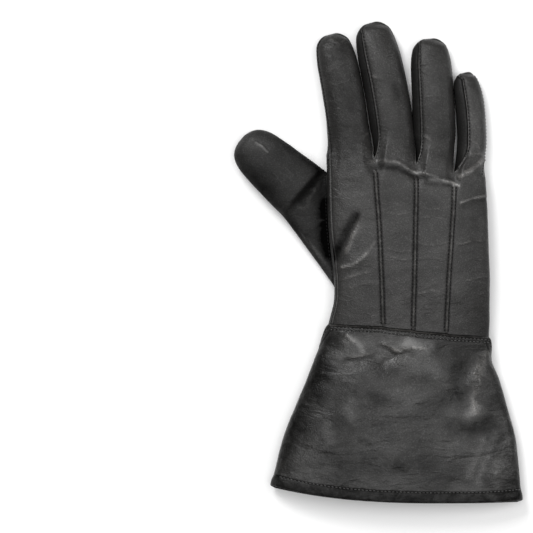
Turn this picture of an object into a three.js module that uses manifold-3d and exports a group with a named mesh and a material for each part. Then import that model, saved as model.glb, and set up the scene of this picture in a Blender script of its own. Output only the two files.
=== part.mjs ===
// Gauntlet glove for the right hand, lying palm down, in millimetres.
// X runs across the hand, Y towards the fingertips and Z up; the resting surface is Z = 0.
// While the skins are worked out, X = 0 is the hand's centre line and Y = 0 the wrist seam.
import * as THREE from "three";
import { mergeVertices } from "three/addons/utils/BufferGeometryUtils.js";
import Module from "manifold-3d";

// Leather and seams
const LEATHER = 1.3;
const GUSSET_LEATHER = 1.1;
const SEAM_LEATHER = 0.7;
const SEAM_GAP = 0.34;
const SKIN_GAP = 0.4;

// Hand
const HAND_WIDTH = 110;
const HAND_LENGTH = 115;
const HAND_HEIGHT = 25;
const PALM_CROTCH_DROP = 6;
const CROTCH_DIP = 3;
const CROTCH_REACH = 12;
const TUCK_HEIGHT = 0.9;
const TUCK_HALF_WIDTH = 1.8;
const GATHER_HEIGHT = 1.1;
const GATHERS_ACROSS = 10;

// Fingers
const INDEX_LENGTH = 85;
const INDEX_WIDTH = 28.5;
const INDEX_HEIGHT = 18;
const MIDDLE_LENGTH = 95;
const MIDDLE_WIDTH = 30;
const MIDDLE_HEIGHT = 18.5;
const RING_LENGTH = 89;
const RING_WIDTH = 29;
const RING_HEIGHT = 18;
const LITTLE_LENGTH = 71;
const LITTLE_WIDTH = 20;
const LITTLE_HEIGHT = 15.5;

// Thumb
const THUMB_LENGTH = 66;
const THUMB_WIDTH = 41;
const THUMB_HEIGHT = 20;
const THUMB_ANGLE = 138.7;
const THUMB_RISE = 3.5;
const WEB_DEPTH = 3.5;

// Palm pad
const PAD_THICKNESS = 2.4;
const CHANNEL_SHARE = 0.45;

// Cuff
const CUFF_LENGTH = 119;
const CUFF_WIDTH = 171;
const CUFF_HEIGHT = 24;
const HEM_WIDTH = 7.6;
const HEM_RISE = 4.8;
const HEM_LOWEST = 0.15;
const HEM_CURVE = 2.5;
const UNDER_HEM_DROP = 1.5;
const WRIST_SLANT = 0.083;
const WRIST_DROP = 18;
const WRIST_LAP = 8;
const CUFF_LAYER = LEATHER + SKIN_GAP;

// Roundness of the sections: 2 is an ellipse, more is squarer. Over 1, the flatness of the underside
// spreads the part that lies level.
const BACK_ROUNDNESS = 2.6;
const UNDER_ROUNDNESS = 3.2;
const FINGER_TOP_ROUNDNESS = 2.2;
const FINGER_UNDER_ROUNDNESS = 2.8;
const UNDER_FLATNESS = 1.04;

// How many faces go round: across one finger's back, and down one of its sides
const BACK_COLUMNS = 5;
const SIDE_COLUMNS = 2;
const FINGER_COUNT = 4;

// Hand sections. along: share of HAND_LENGTH from the wrist seam. left, right: share of HAND_WIDTH
// from the centre line. top: share of HAND_HEIGHT. side: height of the widest place, as a share of
// the top. lift: 1 where the palm stands on its pad, 0 where the leather lies on the ground.
const HAND_SECTIONS = [
  { along: 0.072, left: -0.484, right: 0.522, top: 0.85, side: 0.44, lift: 0.9 },
  { along: 0.18, left: -0.459, right: 0.519, top: 0.9, side: 0.48, lift: 1 },
  { along: 0.323, left: -0.459, right: 0.519, top: 0.96, side: 0.5, lift: 1 },
  { along: 0.467, left: -0.478, right: 0.512, top: 1, side: 0.52, lift: 1 },
  { along: 0.623, left: -0.494, right: 0.506, top: 1, side: 0.54, lift: 1 },
  { along: 0.778, left: -0.5, right: 0.5, top: 0.97, side: 0.54, lift: 1 },
  { along: 0.928, left: -0.503, right: 0.491, top: 0.92, side: 0.52, lift: 1 },
  { along: 1.048, left: -0.506, right: 0.484, top: 0.86, side: 0.5, lift: 1 },
  { along: 1.138, left: -0.506, right: 0.484, top: 0.8, side: 0.48, lift: 1 },
];

// Cuff sections, outer outline. along: share of CUFF_LENGTH from the wrist seam to the hem. left,
// right: share of CUFF_WIDTH. top: share of CUFF_HEIGHT.
const CUFF_SECTIONS = [
  { along: 0.087, left: -0.35, right: 0.342, top: 0.9, side: 0.4, lift: 0.4 },
  { along: 0.174, left: -0.376, right: 0.342, top: 0.94, side: 0.38, lift: 0 },
  { along: 0.29, left: -0.406, right: 0.372, top: 1, side: 0.36, lift: 0 },
  { along: 0.429, left: -0.446, right: 0.402, top: 1.02, side: 0.36, lift: 0 },
  { along: 0.614, left: -0.495, right: 0.438, top: 1.02, side: 0.36, lift: 0 },
  { along: 0.8, left: -0.531, right: 0.456, top: 1, side: 0.36, lift: 0 },
  { along: 0.928, left: -0.557, right: 0.464, top: 0.98, side: 0.36, lift: 0 },
  { along: 1.03, left: -0.575, right: 0.472, top: 0.97, side: 0.36, lift: 0 },
];

// Lines that run down the hand from the three crotches, on the back and on the palm. at: from the
// crotches, 0, to the end under the cuff, 1. Each is a share of HAND_WIDTH from the centre line.
// On the back they are the three tucks, and palm1 follows the inner edge of the thumb hole.
const HAND_LINES = [
  { at: 0, back1: -0.207, back2: 0.056, back3: 0.294, palm1: -0.207, palm2: 0.056, palm3: 0.294 },
  { at: 0.19, back1: -0.195, back2: 0.052, back3: 0.287, palm1: -0.194, palm2: 0.08, palm3: 0.3 },
  { at: 0.31, back1: -0.184, back2: 0.049, back3: 0.278, palm1: -0.12, palm2: 0.11, palm3: 0.315 },
  { at: 0.43, back1: -0.176, back2: 0.046, back3: 0.27, palm1: -0.065, palm2: 0.14, palm3: 0.33 },
  { at: 0.59, back1: -0.168, back2: 0.043, back3: 0.258, palm1: -0.019, palm2: 0.165, palm3: 0.34 },
  { at: 0.75, back1: -0.16, back2: 0.039, back3: 0.25, palm1: -0.045, palm2: 0.15, palm3: 0.335 },
  { at: 0.91, back1: -0.154, back2: 0.035, back3: 0.243, palm1: -0.16, palm2: 0.09, palm3: 0.31 },
  { at: 1, back1: -0.15, back2: 0.034, back3: 0.24, palm1: -0.2, palm2: 0.06, palm3: 0.3 },
];

// Where the crotch line stands at the five edges of the four fingers, from the index side to the
// little finger's side, as shares of HAND_LENGTH from the wrist seam.
const CROTCH_ALONG = [1.05, 1.038, 1.002, 0.948, 0.912];

// How far the palm's rows are drawn towards the fingers at the index side, so that the thumb hole
// slants: shares of HAND_LENGTH.
const THUMB_SLANT = [
  { at: 0, raise: 0 },
  { at: 0.19, raise: 0.165 },
  { at: 0.91, raise: 0.32 },
  { at: 1, raise: 0 },
];
const THUMB_HOLE_START = 0.19;
const THUMB_HOLE_END = 0.91;

// Rows of faces down the hand, up each finger, up the thumb, and down the cuff.
const HAND_ROWS = [0, 0.05, 0.11, 0.19, 0.31, 0.43, 0.55, 0.67, 0.79, 0.91, 0.93, 0.95, 0.975, 1];
const FINGER_ROWS = [0, 0.03, 0.07, 0.12, 0.18, 0.26, 0.36, 0.47, 0.58, 0.69, 0.79, 0.87, 0.93, 0.97, 1];
const THUMB_ROWS = [0, 0.03, 0.06, 0.09, 0.12, 0.18, 0.3, 0.44, 0.58, 0.71, 0.82, 0.9, 0.95, 0.98, 1];
const CUFF_ROWS = [0, 0.035, 0.07, 0.14, 0.22, 0.32, 0.43, 0.55, 0.67, 0.79, 0.88];

// The fingers. rootX: share of HAND_WIDTH; rootY: share of HAND_LENGTH; rootWidth: share of the
// finger's width at its root; lean and bow: shares of its length. The last four columns are the
// places of the seams round the finger in degrees, 0 at its right, 90 on top.
const FINGERS = [
  {
    length: INDEX_LENGTH, width: INDEX_WIDTH, height: INDEX_HEIGHT,
    rootX: -0.357, rootY: 1.036, rootWidth: 1, lean: -0.163, bow: 0.027,
    backLeft: 165, backRight: 0, underRight: -48, underLeft: -165,
  },
  {
    length: MIDDLE_LENGTH, width: MIDDLE_WIDTH, height: MIDDLE_HEIGHT,
    rootX: -0.075, rootY: 1.018, rootWidth: 0.9, lean: -0.181, bow: 0.029,
    backLeft: 131, backRight: -5, underRight: -52, underLeft: -175,
  },
  {
    length: RING_LENGTH, width: RING_WIDTH, height: RING_HEIGHT,
    rootX: 0.175, rootY: 0.976, rootWidth: 0.84, lean: -0.047, bow: 0.012,
    backLeft: 130, backRight: -5, underRight: -52, underLeft: -175,
  },
  {
    length: LITTLE_LENGTH, width: LITTLE_WIDTH, height: LITTLE_HEIGHT,
    rootX: 0.391, rootY: 0.928, rootWidth: 0.97, lean: -0.053, bow: 0.048,
    backLeft: 106, backRight: -12, underRight: -40, underLeft: -190,
  },
];

// A finger's outline from root to tip, as shares of its width and height.
const FINGER_SHAPE = [
  { at: 0, width: 1, height: 0.95 },
  { at: 0.3, width: 1, height: 1 },
  { at: 0.7, width: 0.98, height: 0.97 },
  { at: 0.8, width: 0.95, height: 0.92 },
  { at: 0.88, width: 0.87, height: 0.82 },
  { at: 0.94, width: 0.75, height: 0.66 },
  { at: 0.98, width: 0.56, height: 0.42 },
  { at: 1, width: 0.32, height: 0 },
];
const FINGER_BLEND = 0.3;
const FINGER_SLOPE = 0.1;
const FINGER_SIDE = 0.45;
const TIP_START = 0.93;

// The thumb's root as shares of HAND_WIDTH and HAND_LENGTH, the angles at which its tube takes up
// the four corners of its hole, its blends out of the palm, and its outline from root to tip.
const THUMB_ROOT = { x: -0.59, y: 0.77 };
const RIM_CORNERS = { fingers: 60, palm: -45, wrist: -135, side: 135 };
const THUMB_BLEND = 0.18;
const THUMB_OUTWARD_BLEND = 0.13;
const WEB_TURN = 30;
const THUMB_EDGE_PLACE = 3;
const THUMB_SIDE = 0.48;
const THUMB_SHAPE = [
  { at: 0, width: 1.05, height: 0.92 },
  { at: 0.18, width: 1.03, height: 0.97 },
  { at: 0.37, width: 0.98, height: 1 },
  { at: 0.62, width: 0.9, height: 0.98 },
  { at: 0.77, width: 0.83, height: 0.9 },
  { at: 0.87, width: 0.73, height: 0.78 },
  { at: 0.95, width: 0.55, height: 0.56 },
  { at: 1, width: 0.28, height: 0 },
];

// Folds in the upper layer. Ends are shares of HAND_WIDTH and HAND_LENGTH; reach is the half width
// and rise the height, in millimetres, below zero for a valley.
const FOLDS = [
  { x1: -0.35, y1: 0.65, x2: -0.444, y2: 0.431, reach: 5, rise: -1.3 },
  { x1: -0.419, y1: 0.371, x2: -0.275, y2: 0.431, reach: 4, rise: 0.9 },
  { x1: -0.4, y1: -0.04, x2: -0.325, y2: -0.1, reach: 5, rise: 1 },
  { x1: -0.094, y1: -0.078, x2: 0.15, y2: -0.114, reach: 6, rise: 1.1 },
  { x1: -0.388, y1: -0.186, x2: -0.212, y2: -0.156, reach: 5, rise: -1.3 },
  { x1: -0.15, y1: -0.186, x2: 0, y2: -0.132, reach: 5, rise: -1.3 },
  { x1: 0.313, y1: -0.317, x2: 0.444, y2: -0.156, reach: 8, rise: -2.2 },
  { x1: 0.388, y1: -0.317, x2: 0.5, y2: -0.174, reach: 5, rise: 1.5 },
];

// The palm pad's outline, anticlockwise from its corner by the wrist and the little finger's side:
// shares of HAND_WIDTH and HAND_LENGTH. Its sewn channels run across it.
const PAD_OUTLINE = [
  { x: 0.435, y: 0.1 }, { x: 0.435, y: 0.45 }, { x: 0.43, y: 0.8 }, { x: 0.04, y: 0.865 },
  { x: -0.3, y: 0.94 }, { x: -0.3, y: 0.875 }, { x: -0.17, y: 0.815 }, { x: -0.075, y: 0.74 },
  { x: 0.006, y: 0.66 }, { x: 0.044, y: 0.565 }, { x: 0.069, y: 0.435 }, { x: 0.075, y: 0.31 },
  { x: 0.064, y: 0.1 },
];
const PAD_CHANNELS = [0.08, 0.278, 0.446, 0.647, 0.97];
const PAD_COLUMNS = [-0.32, -0.22, -0.12, -0.02, 0.08, 0.18, 0.28, 0.36, 0.41, 0.46];
const PAD_ROWS_PER_CHANNEL = 4;

// Where the tucks on the back and the gathers on the palm begin and end, as shares of the way from
// the crotches to the end under the cuff.
const TUCK_WINDOW = { start: 0, full: 0.08, fade: 0.88, end: 0.93 };
const GATHER_WINDOW = { start: 0.78, full: 0.88, fade: 0.91, end: 0.95 };

// Where the palm stands off the ground over the thumb's root: middle and reach as shares of
// HAND_WIDTH and HAND_LENGTH.
const THUMB_SWELL = { x: -0.3, reachX: 0.27, y: 0.5, reachY: 0.4 };

const GUSSETS = ["fourchette_index_middle", "fourchette_middle_ring", "fourchette_ring_little"];
const DEGREE = Math.PI / 180;
const SIDE_ANGLE = 16;
const LONGEST_MITRE = 3;
const FULL_TURN = 360;

function mix(a, b, share) {
  return a + (b - a) * share;
}

function smooth(share) {
  const held = Math.min(Math.max(share, 0), 1);
  return held * held * (3 - 2 * held);
}

// Rises from 0 to 1 at the start of a window and falls back to 0 at its end.
function inWindow(window, at) {
  const rise = smooth((at - window.start) / (window.full - window.start));
  return rise * smooth((window.end - at) / (window.end - window.fade));
}

function signedPower(value, power) {
  return Math.sign(value) * Math.abs(value) ** power;
}

// Reads a table between its rows, along a smooth curve through every column.
function sampleRow(rows, at) {
  const last = rows.length - 1;
  const held = Math.min(Math.max(at, rows[0].at), rows[last].at);
  let i = 0;
  while (i < last - 1 && held > rows[i + 1].at) i += 1;
  const span = rows[i + 1].at - rows[i].at;
  const u = (held - rows[i].at) / span;
  const slope = (key, k) => {
    const before = rows[Math.max(k - 1, 0)];
    const after = rows[Math.min(k + 1, last)];
    return ((after[key] - before[key]) / (after.at - before.at)) * span;
  };
  const read = {};
  for (const key of Object.keys(rows[0])) {
    const turn = slope(key, i) * u * (1 - u) ** 2 - slope(key, i + 1) * u * u * (1 - u);
    read[key] = mix(rows[i][key], rows[i + 1][key], smooth(u)) + turn;
  }
  return read;
}

// The body of the glove from the hem to the crotches, as one list of sections in millimetres. Under
// the cuff it is the space that the cuff's layer closes round.
const BODY = [
  ...CUFF_SECTIONS.map((row) => ({
    at: -row.along * CUFF_LENGTH,
    left: row.left * CUFF_WIDTH + CUFF_LAYER,
    right: row.right * CUFF_WIDTH - CUFF_LAYER,
    top: row.top * CUFF_HEIGHT - CUFF_LAYER,
    side: row.side,
    lift: row.lift,
  })).reverse(),
  ...HAND_SECTIONS.map((row) => ({
    at: row.along * HAND_LENGTH,
    left: row.left * HAND_WIDTH,
    right: row.right * HAND_WIDTH,
    top: row.top * HAND_HEIGHT,
    side: row.side,
    lift: row.lift,
  })),
];

// Height of the lowest skin over the ground at a place, without the roundness of the sides.
function underHeight(section, x, y) {
  const overPad = PAD_THICKNESS + SKIN_GAP;
  const offX = (x / HAND_WIDTH - THUMB_SWELL.x) / THUMB_SWELL.reachX;
  const offY = (y / HAND_LENGTH - THUMB_SWELL.y) / THUMB_SWELL.reachY;
  const swell = THUMB_RISE * Math.exp(-offX * offX - offY * offY);
  return mix(CUFF_LAYER, overPad, section.lift) + swell;
}

// How much the folds raise the upper layer at a place.
function foldRise(x, y) {
  let rise = 0;
  for (const fold of FOLDS) {
    const startX = fold.x1 * HAND_WIDTH;
    const startY = fold.y1 * HAND_LENGTH;
    const runX = fold.x2 * HAND_WIDTH - startX;
    const runY = fold.y2 * HAND_LENGTH - startY;
    const share = ((x - startX) * runX + (y - startY) * runY) / (runX * runX + runY * runY);
    const held = Math.min(Math.max(share, 0), 1);
    const away = Math.hypot(x - startX - held * runX, y - startY - held * runY) / fold.reach;
    rise += fold.rise * Math.exp(-away * away);
  }
  return rise;
}

// A point of the body at a height along it and an angle round it, 0 at the right and 90 on top.
function bodyPoint(y, angle) {
  const section = sampleRow(BODY, y);
  const upper = Math.sin(angle * DEGREE) >= 0;
  const roundness = upper ? BACK_ROUNDNESS : UNDER_ROUNDNESS;
  const across = signedPower(Math.cos(angle * DEGREE), 2 / roundness);
  const away = Math.abs(Math.sin(angle * DEGREE)) ** (2 / roundness);
  const x = mix(section.left, section.right, (across + 1) / 2);
  const sideHeight = section.side * section.top;
  if (!upper) {
    const down = Math.min(away * UNDER_FLATNESS, 1);
    return new THREE.Vector3(x, y, mix(sideHeight, underHeight(section, x, y), down));
  }
  return new THREE.Vector3(x, y, sideHeight + (section.top - sideHeight) * away + foldRise(x, y) * away);
}

// The angle round the body at which its upper or lower layer stands over a given X.
function angleOver(y, x, upper) {
  const section = sampleRow(BODY, y);
  const across = (2 * (x - section.left)) / (section.right - section.left) - 1;
  const roundness = upper ? BACK_ROUNDNESS : UNDER_ROUNDNESS;
  const held = Math.min(Math.max(across, -1), 1);
  const angle = Math.acos(signedPower(held, roundness / 2)) / DEGREE;
  return upper ? angle : -angle;
}

// Columns run round the hand: over the back from the index side, down the little finger's side,
// back across the palm, and up the index side.
const BACK_END = FINGER_COUNT * BACK_COLUMNS;
const PALM_START = BACK_END + SIDE_COLUMNS;
const PALM_END = PALM_START + BACK_END;
const COLUMNS = PALM_END + SIDE_COLUMNS;
const HOLE_FIRST = PALM_END - BACK_COLUMNS;

// X of a column on the back or the palm. On the back the columns next to a tuck draw close to it.
function columnX(y, row, place, onBack) {
  const section = sampleRow(BODY, y);
  const lines = sampleRow(HAND_LINES, row);
  const name = onBack ? "back" : "palm";
  const roundness = onBack ? BACK_ROUNDNESS : UNDER_ROUNDNESS;
  const edge = Math.cos(SIDE_ANGLE * DEGREE) ** (2 / roundness);
  const xs = [
    mix(section.left, section.right, (1 - edge) / 2),
    lines[name + 1] * HAND_WIDTH,
    lines[name + 2] * HAND_WIDTH,
    lines[name + 3] * HAND_WIDTH,
    mix(section.left, section.right, (1 + edge) / 2),
  ];
  const finger = Math.min(Math.floor(place), FINGER_COUNT - 1);
  const share = place - finger;
  const width = xs[finger + 1] - xs[finger];
  const step = share * BACK_COLUMNS;
  const close = TUCK_HALF_WIDTH / width;
  let pulled = mix(close, 1 - close, (step - 1) / (BACK_COLUMNS - 2));
  if (step < 1) pulled = step * close;
  if (step > BACK_COLUMNS - 1) pulled = 1 - (BACK_COLUMNS - step) * close;
  const pull = onBack ? smooth(row / THUMB_HOLE_START) : 0;
  return xs[finger] + width * mix(share, pulled, pull);
}

// Where a column lies: on which layer, how far across the four fingers, and how far under the hand.
function columnPlace(column) {
  if (column <= BACK_END) return { place: column / BACK_COLUMNS, under: 0 };
  if (column < PALM_START) return { place: FINGER_COUNT, under: (column - BACK_END) / SIDE_COLUMNS };
  if (column <= PALM_END) return { place: FINGER_COUNT - (column - PALM_START) / BACK_COLUMNS, under: 1 };
  return { place: 0, under: 1 - (column - PALM_END) / SIDE_COLUMNS };
}

function crotchY(spot) {
  const finger = Math.min(Math.floor(spot.place), FINGER_COUNT - 1);
  const along = mix(CROTCH_ALONG[finger], CROTCH_ALONG[finger + 1], spot.place - finger);
  const inner = smooth(Math.min(spot.place, FINGER_COUNT - spot.place));
  return along * HAND_LENGTH - PALM_CROTCH_DROP * spot.under * inner;
}

// The wrist seam slants across the back and stands nearer the hem under the hand.
function seamY(x, under) {
  return -WRIST_SLANT * x - WRIST_DROP * smooth(under);
}

// A point of the hand's skin. row: 0 at the crotches, 1 at the end under the cuff.
function handPoint(column, row) {
  const spot = columnPlace(column);
  const nominalX = (spot.place / FINGER_COUNT - 0.5) * HAND_WIDTH;
  const slant = sampleRow(THUMB_SLANT, row).raise * HAND_LENGTH * spot.under * Math.max(1 - spot.place, 0);
  const y = mix(crotchY(spot), seamY(nominalX, spot.under) - WRIST_LAP, row) + slant;
  if (spot.under > 0 && spot.under < 1) {
    const below = SIDE_ANGLE * (1 - 2 * spot.under);
    return bodyPoint(y, spot.place > 0 ? below : 180 - below);
  }
  const onBack = spot.under === 0;
  const x = columnX(y, row, spot.place, onBack);
  const point = bodyPoint(y, angleOver(y, x, onBack));
  if (onBack) {
    const offY = (y - crotchY(spot)) / CROTCH_REACH;
    const beside = Math.cos(2 * Math.PI * spot.place);
    point.z -= CROTCH_DIP * Math.exp(-offY * offY) * Math.max(beside, 0) * middle(spot.place);
  } else {
    const wave = Math.cos(2 * Math.PI * GATHERS_ACROSS * (spot.place / FINGER_COUNT));
    const clearOfThumb = row > THUMB_HOLE_END ? 1 : smooth(spot.place - 1);
    const height = GATHER_HEIGHT * clearOfThumb * middle(spot.place);
    point.z += height * wave * inWindow(GATHER_WINDOW, row);
  }
  return point;
}

// 1 over the inside of the hand, falling to 0 at its two side edges.
function middle(place) {
  return smooth(2 * Math.min(place, FINGER_COUNT - place));
}

// The crotch between two fingers, from the back, 0, to the palm, 1.
function crotchPoint(number, under) {
  const back = handPoint(number * BACK_COLUMNS, 0);
  const palm = handPoint(PALM_END - number * BACK_COLUMNS, 0);
  return back.lerp(palm, under);
}

// Columns round a finger: over its back, down its right side, across its underside, up its left.
const FINGER_UNDER = BACK_COLUMNS + SIDE_COLUMNS;
const FINGER_LEFT = FINGER_UNDER + BACK_COLUMNS;
const FINGER_COLUMNS = FINGER_LEFT + SIDE_COLUMNS;

function fingerRoot(number, column) {
  if (column <= BACK_COLUMNS) return handPoint(number * BACK_COLUMNS + column, 0);
  if (column < FINGER_UNDER) {
    const share = column - BACK_COLUMNS;
    const outer = number === FINGER_COUNT - 1;
    return outer ? handPoint(BACK_END + share, 0) : crotchPoint(number + 1, share / SIDE_COLUMNS);
  }
  if (column <= FINGER_LEFT) {
    return handPoint(PALM_START + (FINGER_COUNT - 1 - number) * BACK_COLUMNS + column - FINGER_UNDER, 0);
  }
  const share = column - FINGER_LEFT;
  return number === 0 ? handPoint(PALM_END + share, 0) : crotchPoint(number, 1 - share / SIDE_COLUMNS);
}

// The angle of a finger's column, and its place along the straight seam that closes the tip, from
// -1 at the left to 1 at the right.
function fingerColumn(finger, column) {
  if (column <= BACK_COLUMNS) {
    const share = column / BACK_COLUMNS;
    return { angle: mix(finger.backLeft, finger.backRight, share), line: 2 * share - 1 };
  }
  if (column < FINGER_UNDER) {
    const share = (column - BACK_COLUMNS) / SIDE_COLUMNS;
    return { angle: mix(finger.backRight, finger.underRight, share), line: 1 };
  }
  if (column <= FINGER_LEFT) {
    const share = (column - FINGER_UNDER) / BACK_COLUMNS;
    return { angle: mix(finger.underRight, finger.underLeft, share), line: 1 - 2 * share };
  }
  const share = (column - FINGER_LEFT) / SIDE_COLUMNS;
  return { angle: mix(finger.underLeft, finger.backLeft - FULL_TURN, share), line: -1 };
}

// A point round a rolled tube: across and up from its middle, resting flat on the ground.
function tubeOffset(angle, width, height, side, share) {
  const upper = Math.sin(angle * DEGREE) >= 0;
  const roundness = upper ? FINGER_TOP_ROUNDNESS : FINGER_UNDER_ROUNDNESS;
  const away = Math.abs(Math.sin(angle * DEGREE)) ** (2 / roundness) * share;
  return {
    across: (width / 2) * signedPower(Math.cos(angle * DEGREE), 2 / roundness),
    up: height * (upper ? side + (1 - side) * away : side * (1 - away)),
  };
}

// A point of a finger's skin. row: 0 at the crotches, 1 at the tip.
function fingerPoint(number, column, row) {
  const finger = FINGERS[number];
  const shape = sampleRow(FINGER_SHAPE, row);
  const place = fingerColumn(finger, column);
  const width = finger.width * shape.width * mix(finger.rootWidth, 1, smooth(row / FINGER_BLEND));
  const ring = tubeOffset(place.angle, width, finger.height, FINGER_SIDE, shape.height);
  const across = mix(ring.across, (place.line * width) / 2, smooth((row - TIP_START) / (1 - TIP_START)));
  const slope = finger.lean + 4 * finger.bow * (1 - 2 * row);
  const norm = Math.hypot(1, slope);
  const bend = finger.lean * row + 4 * finger.bow * row * (1 - row);
  const middleX = finger.rootX * HAND_WIDTH + finger.length * bend;
  const middleY = finger.rootY * HAND_LENGTH + finger.length * row;
  const tube = new THREE.Vector3(middleX + across / norm, middleY - (across * slope) / norm, ring.up);
  const near = Math.min(row / FINGER_BLEND, 1);
  const opened = mix(smooth(near), 1 - (1 - near) ** 2, place.line ** 4);
  const root = fingerRoot(number, column);
  const ahead = finger.length * row;
  root.y += ahead;
  root.z -= column <= BACK_COLUMNS ? FINGER_SLOPE * ahead : 0;
  return root.lerp(tube, opened);
}

// The rim of the thumb hole, once round: each place holds its column and row in the hand, the angle
// at which the thumb's tube takes it up, and its place along the straight seam that closes the tip.
function thumbRim() {
  const holeRows = HAND_ROWS.filter((row) => row >= THUMB_HOLE_START && row <= THUMB_HOLE_END);
  const down = holeRows.length - 1;
  const across = BACK_COLUMNS;
  const rim = [];
  for (let k = 0; k < across; k += 1) {
    const angle = mix(RIM_CORNERS.fingers, RIM_CORNERS.palm, k / across);
    rim.push({ column: PALM_END - k, row: THUMB_HOLE_START, angle });
  }
  for (let k = 0; k < down; k += 1) {
    const angle = mix(RIM_CORNERS.palm, RIM_CORNERS.wrist, k / down);
    rim.push({ column: HOLE_FIRST, row: holeRows[k], angle });
  }
  for (let k = 0; k < across; k += 1) {
    const angle = mix(RIM_CORNERS.wrist, RIM_CORNERS.side - FULL_TURN, k / across);
    rim.push({ column: HOLE_FIRST + k, row: THUMB_HOLE_END, angle });
  }
  for (let k = 0; k < down; k += 1) {
    const angle = mix(RIM_CORNERS.side, RIM_CORNERS.fingers, k / down);
    rim.push({ column: PALM_END, row: holeRows[down - k], angle });
  }
  const half = rim.length / 2;
  return rim.map((spot, k) => {
    const away = Math.abs(k - THUMB_EDGE_PLACE);
    return { ...spot, line: 1 - (2 * Math.min(away, rim.length - away)) / half };
  });
}

// A point of the thumb's skin. row: 0 at the rim of its hole, 1 at the tip.
function thumbPoint(spot, row) {
  const shape = sampleRow(THUMB_SHAPE, row);
  const ring = tubeOffset(spot.angle, THUMB_WIDTH * shape.width, THUMB_HEIGHT, THUMB_SIDE, shape.height);
  const tipLine = (spot.line * THUMB_WIDTH * shape.width) / 2;
  const across = mix(ring.across, tipLine, smooth((row - TIP_START) / (1 - TIP_START)));
  const forwardX = Math.cos(THUMB_ANGLE * DEGREE);
  const forwardY = Math.sin(THUMB_ANGLE * DEGREE);
  const tube = new THREE.Vector3(
    THUMB_ROOT.x * HAND_WIDTH + forwardX * THUMB_LENGTH * row + forwardY * across,
    THUMB_ROOT.y * HAND_LENGTH + forwardY * THUMB_LENGTH * row - forwardX * across,
    ring.up,
  );
  const opened = smooth(row / THUMB_BLEND);
  const outward = smooth(row / THUMB_OUTWARD_BLEND);
  const rim = handPoint(spot.column, spot.row);
  const point = new THREE.Vector3(
    mix(rim.x, tube.x, outward),
    mix(rim.y, tube.y, outward),
    mix(rim.z, tube.z, opened),
  );
  const topness = Math.max(Math.sin((spot.angle + WEB_TURN) * DEGREE), 0);
  point.z -= WEB_DEPTH * 4 * opened * (1 - opened) * topness;
  return point;
}

// A point of the space inside the cuff. row: 0 at the wrist seam, 1 at the hem.
function cuffPoint(column, row) {
  const spot = columnPlace(column);
  const nominalX = (spot.place / FINGER_COUNT - 0.5) * HAND_WIDTH;
  const start = seamY(nominalX, spot.under);
  let angle;
  if (spot.under > 0 && spot.under < 1) {
    const below = SIDE_ANGLE * (1 - 2 * spot.under);
    angle = spot.place > 0 ? below : 180 - below;
  } else {
    const end = start - WRIST_LAP;
    angle = angleOver(end, columnX(end, 1, spot.place, spot.under === 0), spot.under === 0);
  }
  const hemX = bodyPoint(-CUFF_LENGTH, angle).x;
  const offLowest = Math.abs(2 * (hemX / CUFF_WIDTH - HEM_LOWEST));
  const end = -CUFF_LENGTH + HEM_RISE * offLowest ** HEM_CURVE - UNDER_HEM_DROP * spot.under;
  return bodyPoint(mix(start, end, row), angle);
}

// A skin is a list of shared points and of faces, each face with the name of its piece.
class Skin {
  constructor() {
    this.points = [];
    this.raises = [];
    this.faces = [];
    this.known = new Map();
  }

  // Places that fall together are one point. raise lifts the outer surface alone.
  point(place, raise = 0) {
    const key = [place.x, place.y, place.z].map((value) => Math.round(value * 1000)).join(" ");
    if (!this.known.has(key)) {
      this.known.set(key, this.points.length);
      this.points.push(place);
      this.raises.push(raise);
    }
    return this.known.get(key);
  }

  face(piece, corners) {
    const ring = corners.filter((corner, k) => corner !== corners[(k + 1) % corners.length]);
    if (new Set(ring).size > 2) this.faces.push({ piece, ring });
  }

  // The direction out of the skin at each point.
  normals() {
    const sums = this.points.map(() => new THREE.Vector3());
    for (const { ring } of this.faces) {
      const normal = faceNormal(this.points, ring);
      for (const corner of ring) sums[corner].add(normal);
    }
    return sums.map((sum) => sum.normalize());
  }
}

function faceNormal(points, ring) {
  const first = new THREE.Vector3();
  const second = new THREE.Vector3();
  first.subVectors(points[ring[2]], points[ring[0]]);
  second.subVectors(points[ring[ring.length - 1]], points[ring[1]]);
  if (ring.length === 3) second.subVectors(points[ring[0]], points[ring[1]]);
  return first.cross(second);
}

// How far each border point of a piece steps back from its seam, so that neighbours keep a gap.
function seamSteps(skin, faces, borders, gap) {
  const pulls = new Map();
  for (const { from, to, face } of borders) {
    const along = new THREE.Vector3().subVectors(skin.points[to], skin.points[from]).normalize();
    const inward = faceNormal(skin.points, face.ring).normalize().cross(along);
    for (const corner of [from, to]) {
      if (!pulls.has(corner)) pulls.set(corner, []);
      pulls.get(corner).push(inward);
    }
  }
  const steps = new Map();
  for (const [corner, inwards] of pulls) {
    const sum = new THREE.Vector3();
    for (const inward of inwards) sum.add(inward);
    const mitre = Math.min(Math.max(inwards.length / sum.length(), 1), LONGEST_MITRE);
    steps.set(corner, sum.setLength((gap / 2) * mitre));
  }
  return steps;
}

function borderEdges(faces) {
  const edges = new Map();
  for (const face of faces) {
    face.ring.forEach((from, k) => {
      const to = face.ring[(k + 1) % face.ring.length];
      edges.set(from + " " + to, { from, to, face });
    });
  }
  return [...edges.values()].filter(({ from, to }) => !edges.has(to + " " + from));
}

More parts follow.
